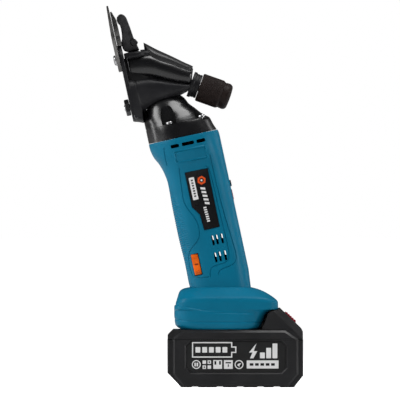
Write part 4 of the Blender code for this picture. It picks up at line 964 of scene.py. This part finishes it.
def make_tension():
    """The tube on the casting's end, and the knurled knob that loads the fork."""
    tube_profile = ((4.4, 45.6), (10.8, 45.6), (11.2, 46.0), (11.2, 48.0), (10.9, 48.4), (10.4, 48.6),
                    (10.4, 50.4),
                    (10.1, 50.7), (10.1, 51.1), (10.4, 51.4), (10.4, 53.0), (10.1, 53.3), (4.4, 53.3))
    piece("tension_collar", stand(turned(tube_profile, 64, True), TENSION_FOOT, TENSION_AXIS),
          "gloss_casting",
          replaces=("tension_tube",), material="satin_casting", sharp=25)
    start = 53.6
    profile = [(9.0, start, 0), (11.6, start, 0), (12.2, start + 0.6, 0), (12.3, start + 0.9, 1),
               (12.3, start + 8.6, 1),
               (12.3, start + 10.6, 1), (12.3, start + 18.8, 1), (12.0, start + 19.2, 0), (11.4,
                                                                                           start + 20.2, 0),
               (11.1, start + 20.8, 0), (11.4, start + 21.6, 0), (11.5, start + 24.4, 0), (11.1,
                                                                                           start + 25.8, 0),
               (10.2, start + 26.9, 0), (8.8, start + 27.6, 0), (6.0, start + 27.9, 0), (2.0, start + 28.1,
                                                                                         0)]
    piece("knurled_knob", stand(knurled(profile, 42, 0.5, 336), TENSION_FOOT, TENSION_AXIS), "knob_brown",
          "tension_knob_body", ("tension_knob",), sharp=60)


# ---- Battery pack --------------------------------------------------------------------

PACK_HALF, PANEL_HALF, SPLIT, PACK_TOP = 36.2, 38.0, 41.0, 49.5
TUB = ((-46.5, 0.0), (50.5, 0.0), (58.5, 10.0), (58.5, SPLIT), (-58.5, SPLIT), (-58.5, 12.5))
LID = ((-58.3, SPLIT + GAP), (58.3, SPLIT + GAP), (58.3, 48.0), (57.0, 50.6), (38.8, 68.0), (37.6, 67.8),
       (36.4, 66.6),
       (30.9, 65.6), (28.5, 63.5), (22.9, PACK_TOP), (-53.6, PACK_TOP), (-58.3, 44.8))
PANEL_FACE = ((-45.1, 0.0), (45.7, 0.0), (54.8, 10.8), (54.6, 41.6), (43.1, 49.3), (-45.1, 49.3),
              (-54.2, 42.8),
              (-54.2, 10.8))
PACK_LABEL = ((-38.0, 13.0), (39.6, 13.0), (43.6, 17.0), (43.6, 35.6), (39.6, 39.6), (-38.0, 39.6),
              (-42.0, 35.6),
              (-42.0, 17.0))
BUTTON_PLACE = (47.4, 0.0, 59.7)
BUTTON_NORMAL = Vector((0.686, 0.0, 0.728)).normalized()


def edge_chamfers():
    """Wedges that cut the long edges of the lid's slope back."""
    low, high = Vector((60.0, 0, 47.6)), Vector((36.6, 0, 70.0))
    run = (high - low).normalized()
    turn = Matrix((run, (0, 1, 0), run.cross(Vector((0, 1, 0))))).transposed().to_4x4()
    wedges = []
    for side in (-1, 1):
        corner = (low + high) / 2 + Vector((0, side * (PACK_HALF + 0.4), 0.4))
        reach = 4.686                # half the diagonal of the chamfer's square bar
        bar = block((-24, -reach, -reach), (24, reach, reach))
        wedges.append(moved(bar, Matrix.Translation(corner) @ turn @ Matrix.Rotation(radians(45), 4, "X")))
    return joined(*wedges)


def make_pack():
    """Tub, lid, red catch and label panels."""
    hollow = ((-43.0, 2.6), (47.0, 2.6), (55.6, 12.0), (55.6, 45.0), (-55.6, 45.0), (-55.6, 14.0))
    face = prism(PANEL_FACE, -PANEL_HALF, PANEL_HALF, 2.1)
    lower = carve(face, block((-60, -40, -1), (60, 40, SPLIT)), operation="INTERSECT")
    upper = carve(face, block((-60, -40, SPLIT + GAP), (60, 40, 60)), operation="INTERSECT")
    tub = carve(prism(TUB, -PACK_HALF, PACK_HALF, 0.8), lower, operation="UNION")
    dents = [rings([[(x, side * y, z) for x, z in inset(PACK_LABEL, -grow)] for grow, y in
                    ((0.1, 36.3), (0.1, 36.5), (1.7, 38.1), (1.7, 40.0))]) for side in (-1, 1)]
    feet = [block((x, -40, -1), (x + 5.5, 40, 0.7)) for x in (-37.5, -16, 1.5, 19, 33)]
    ends = [block((min(x, x + side), -22 + 8.8 * k, 14), (max(x, x + side), -18.4 + 8.8 * k, 38))
            for side, x in ((-1, -57.9), (1, 57.9)) for k in range(6)]
    tub = carve(tub, prism(hollow, -33.4, 33.4), joined(*dents, *feet), joined(*ends))
    piece("pack_tub", tub, "black_moulding", "pack", ("pack_lower_case",), WORLD, bevel=0.2, segments=2,
          sharp=28)
    lid = prism(LID, -PACK_HALF, PACK_HALF)
    rail = [(-20.0, PACK_TOP - 2.0), (20.0, PACK_TOP - 2.0), (20.0, 52.6), (23.6, 52.6), (23.6, 55.4),
            (-23.6, 55.4),
            (-23.6, 52.6), (-20.0, 52.6)]
    lid = carve(lid, upper, plate(rail, -43.0, 27.0),
                block((22.4, -13.6, 50.0), (33.0, 13.6, 62.4)), operation="UNION")
    slope = Vector((0, 0, 1)).rotation_difference(BUTTON_NORMAL).to_matrix().to_4x4()
    window = moved(block((-6.8, -13.4, -8.0), (6.8, 13.4, 6.0)), Matrix.Translation(BUTTON_PLACE) @ slope)
    hump = ((26.0, 38.0), (55.0, 38.0), (55.0, 48.6), (38.2, 62.4), (34.0, 61.0))
    line = [prism(((23, 49.5), (50, 49.5), (50, 50.1), (23, 50.1)), *sorted((side * 35.6, side * 37)))
            for side in (-1, 1)]
    lid = carve(lid, prism(hump, -29.5, 29.5), window, edge_chamfers(), joined(*line))
    piece("pack_lid", lid, "black_moulding", "pack", ("pack_upper_case",), WORLD, bevel=0.2, segments=2,
          sharp=28)
    cap = [(-6.3, -3.4), (6.3, -3.4), (6.3, 0.6)]
    for k in range(5):
        cap += [(5.2 - 2.3 * k, 1.6), (4.2 - 2.3 * k, 1.6), (3.8 - 2.3 * k, 1.0), (3.3 - 2.3 * k, 1.0)]
    cap += [(-6.3, 1.2)]
    catch = moved(prism(cap, -12.9, 12.9, 0.4), slope)
    piece("release_catch", catch, "release_red", "release_button_body", ("release_button",),
          Matrix.Translation(Vector(BUTTON_PLACE) * MM), bevel=0.2)


def printed(outlines, holes=()):
    """A thin print on the pack's near label panel, with holes through it."""
    ink = joined(*[prism(outline, -37.12, -36.93) for outline in outlines])
    return carve(ink, joined(*[prism(hole, -38.5, -36.5) for hole in holes])) if holes else ink


def make_pack_labels():
    """The label panels with pictograms only: a battery, a bolt, a gauge and care signs."""
    for name, side in (("pack_label_left", -1), ("pack_label_right", 1)):
        panel = prism(inset(PACK_LABEL, GAP), *sorted((side * 36.45, side * 36.95)))
        piece(name + "_film", panel, "label_film", "pack", (name,), WORLD, material="pack_film", bevel=0.15)
    x0, x1, z0, z1 = -37.3, -2.6, 25.6, 39.0
    case = ((x0, z0), (x1, z0), (x1, 29.6), (0.9, 29.6), (0.9, 35.2), (x1, 35.2), (x1, z1), (x0, z1))
    inks = [printed([case], [inset(case, 1.0)])]
    inks.append(printed([rounded((x0 + 3.0 + 5.8 * k, 29.9), (x0 + 7.2 + 5.8 * k, 34.7), 0.5) for k
                         in range(5)]))
    bolt = ((15.6, 25.0), (18.9, 31.2), (15.8, 31.2), (18.2, 37.8), (11.8, 30.0), (14.8, 30.0), (12.6, 25.0))
    inks.append(printed([bolt]))
    inks.append(printed([rounded((x, 25.0), (x + 4.2, 25.0 + tall), 0.5) for x, tall in
                         ((21.2, 5.0), (26.6, 9.0), (32.0, 12.8))]))
    bar = rounded((9.8, 16.2), (37.2, 23.2), 0.4)
    inks.append(printed([bar], [rounded((12.4 + 4.6 * k, 18.6), (15.6 + 4.6 * k, 20.8), 0.3) for k
                                in range(5)]))
    base, top, size = 15.9, 23.4, 7.6
    starts = [-37.4 + 9.2 * k for k in range(5)]
    for x in (starts[0], starts[4]):
        centre = (x + size / 2, (base + top) / 2)
        inks.append(printed([disc(centre, 3.8, 32)], [disc(centre, 3.0, 32)]))
    x = starts[0]
    inks.append(printed([rounded((x + 2.2, 18.0), (x + 3.4, 21.2), 0.2),
                         rounded((x + 4.0, 18.0), (x + 5.4, 21.2), 0.2)]))
    x = starts[1]
    cells = [rounded((x + a, base + b), (x + a + 3.0, base + b + 3.0), 0.3) for a,
             b in ((0, 0), (4.3, 0), (0, 4.3), (4.3, 4.3))]
    inks.append(printed(cells, [disc((x + 1.5, base + 1.5), 0.7, 12), disc((x + 5.8, base + 5.8), 0.7, 12)]))
    x = starts[2]
    roof = ((x, base), (x + size, base), (x + size, top), (x, top))
    inks.append(printed([roof], [((x + 1.0, base + 3.6), (x + 2.6, base + 3.6), (x + 2.6, top - 0.8),
                                  (x + 1.0, top - 0.8)),
                                 ((x + 5.0, base + 3.6), (x + 6.6, base + 3.6), (x + 6.6, top - 0.8),
                                  (x + 5.0, top - 0.8))]))
    x = starts[3]
    inks.append(printed([rounded((x, base), (x + size, top), 0.3)],
                        [rounded((x + 1.4, 20.6), (x + 6.2, 21.8), 0.2),
                         rounded((x + 3.3, 17.6), (x + 4.3, 19.8), 0.2)]))
    x = starts[4]
    inks.append(printed([((x + 2.2, 19.2), (x + 4.2, 17.6), (x + 4.2, 19.0), (x + 5.8, 20.8),
                          (x + 3.6, 20.6))]))
    piece("pack_print", joined(*inks), "label_film", "pack", (), WORLD, material="print_white")


# ---- Stage ---------------------------------------------------------------------------


def wired(tree, kind, *sources, **inputs):
    """A new node fed from these outputs, in the order of its sockets."""
    made = tree.nodes.new("ShaderNode" + kind)
    for socket, source in enumerate(sources):
        tree.links.new(source, made.inputs[socket])
    for name, value in inputs.items():
        made.inputs[name.replace("_", " ")].default_value = value
    return made


def make_floor():
    """A white floor that stays evenly bright as it runs off to the sides; near the tool its glow is dimmed, a
    painted shade round the tool.
    """
    mesh = bpy.data.meshes.new("floor")
    reach = 30.0
    corners = [(-reach, -reach, 0), (reach, -reach, 0), (reach, reach, 0), (-reach, reach, 0)]
    mesh.from_pydata(corners, [], [(0, 1, 2, 3)])
    ground = bpy.data.objects.new("floor", mesh)
    ground.location.z = -0.0002
    bpy.context.collection.objects.link(ground)
    paint = bpy.data.materials.new("floor_white")
    paint.use_nodes = True
    tree = paint.node_tree
    matt = tree.nodes["Principled BSDF"]
    matt.inputs["Base Color"].default_value = (0.93, 0.93, 0.93, 1)
    matt.inputs["Roughness"].default_value = 0.6
    away = wired(tree, "VectorMath", tree.nodes.new("ShaderNodeTexCoord").outputs["Object"])
    away.operation = "LENGTH"
    # painted shade: the glow is weaker within 0.3 m of the tool, darkening the floor round it
    fade = wired(tree, "MapRange", away.outputs["Value"], From_Min=0.06, From_Max=0.30, To_Min=0.88,
                 To_Max=1.0)
    sight = tree.nodes.new("ShaderNodeLightPath").outputs["Is Camera Ray"]
    strength = wired(tree, "Math", fade.outputs[0], sight)
    strength.operation = "MULTIPLY"
    glow = tree.nodes.new("ShaderNodeEmission")
    tree.links.new(strength.outputs[0], glow.inputs["Strength"])
    total = wired(tree, "AddShader", matt.outputs[0], glow.outputs[0])
    tree.links.new(total.outputs[0], tree.nodes["Material Output"].inputs["Surface"])
    mesh.materials.append(paint)


def make_world():
    """A white backdrop that adds only a little light."""
    world = bpy.data.worlds.new("studio")
    world.use_nodes = True
    tree = world.node_tree
    faint = tree.nodes["Background"]
    faint.inputs["Color"].default_value = (1, 1, 1, 1)
    faint.inputs["Strength"].default_value = 0.06
    seen = wired(tree, "Background", Color=(1, 1, 1, 1))
    sight = tree.nodes.new("ShaderNodeLightPath").outputs["Is Camera Ray"]
    choose = wired(tree, "MixShader", sight, faint.outputs[0], seen.outputs[0])
    tree.links.new(choose.outputs[0], tree.nodes["World Output"].inputs["Surface"])
    bpy.context.scene.world = world


def make_lights():
    """Soft studio boxes, all aimed at the middle of the tool."""
    lights = (                   # (name, place, width, height, power)
        ("key", (-1.3, -0.65, 0.9), 0.6, 1.2, 16.0),
        ("fill", (1.35, -0.35, 0.35), 0.25, 0.9, 6.0),
        ("top", (0.45, -0.25, 1.6), 1.2, 0.6, 15.0),
        ("left_rim", (-1.3, 0.15, 0.3), 0.2, 0.9, 3.0),
        ("right_rim", (1.1, 0.8, 0.7), 0.3, 1.1, 2.0),
    )
    for name, place, width, height, power in lights:
        data = bpy.data.lights.new(name, "AREA")
        data.shape = "RECTANGLE"
        data.size = width
        data.size_y = height
        data.energy = power
        lamp = bpy.data.objects.new(name, data)
        lamp.location = place
        aim_at = Vector((-0.03, 0, 0.15)) - Vector(place)
        lamp.rotation_euler = aim_at.to_track_quat("-Z", "Y").to_euler()
        lamp.visible_camera = False
        bpy.context.collection.objects.link(lamp)


def make_camera():
    """A long lens, level with the middle of the tool."""
    data = bpy.data.cameras.new("camera")
    distance = 8.0
    frame_width = 0.346          # what the frame spans at the object
    data.sensor_width = 36.0
    data.lens = 36.0 * distance / frame_width
    camera = bpy.data.objects.new("camera", data)
    camera.location = (-0.0304, -distance, 0.1613)
    camera.rotation_euler = (radians(90), 0, 0)
    bpy.context.collection.objects.link(camera)
    bpy.context.scene.camera = camera
    bpy.context.scene.view_settings.view_transform = "Standard"


finish_cad_nodes()
make_housing()
make_label()
make_controls()
make_gear_housing()
make_head()
make_blades()
make_tension()
make_pack()
make_pack_labels()
make_floor()
make_world()
make_lights()
make_camera()
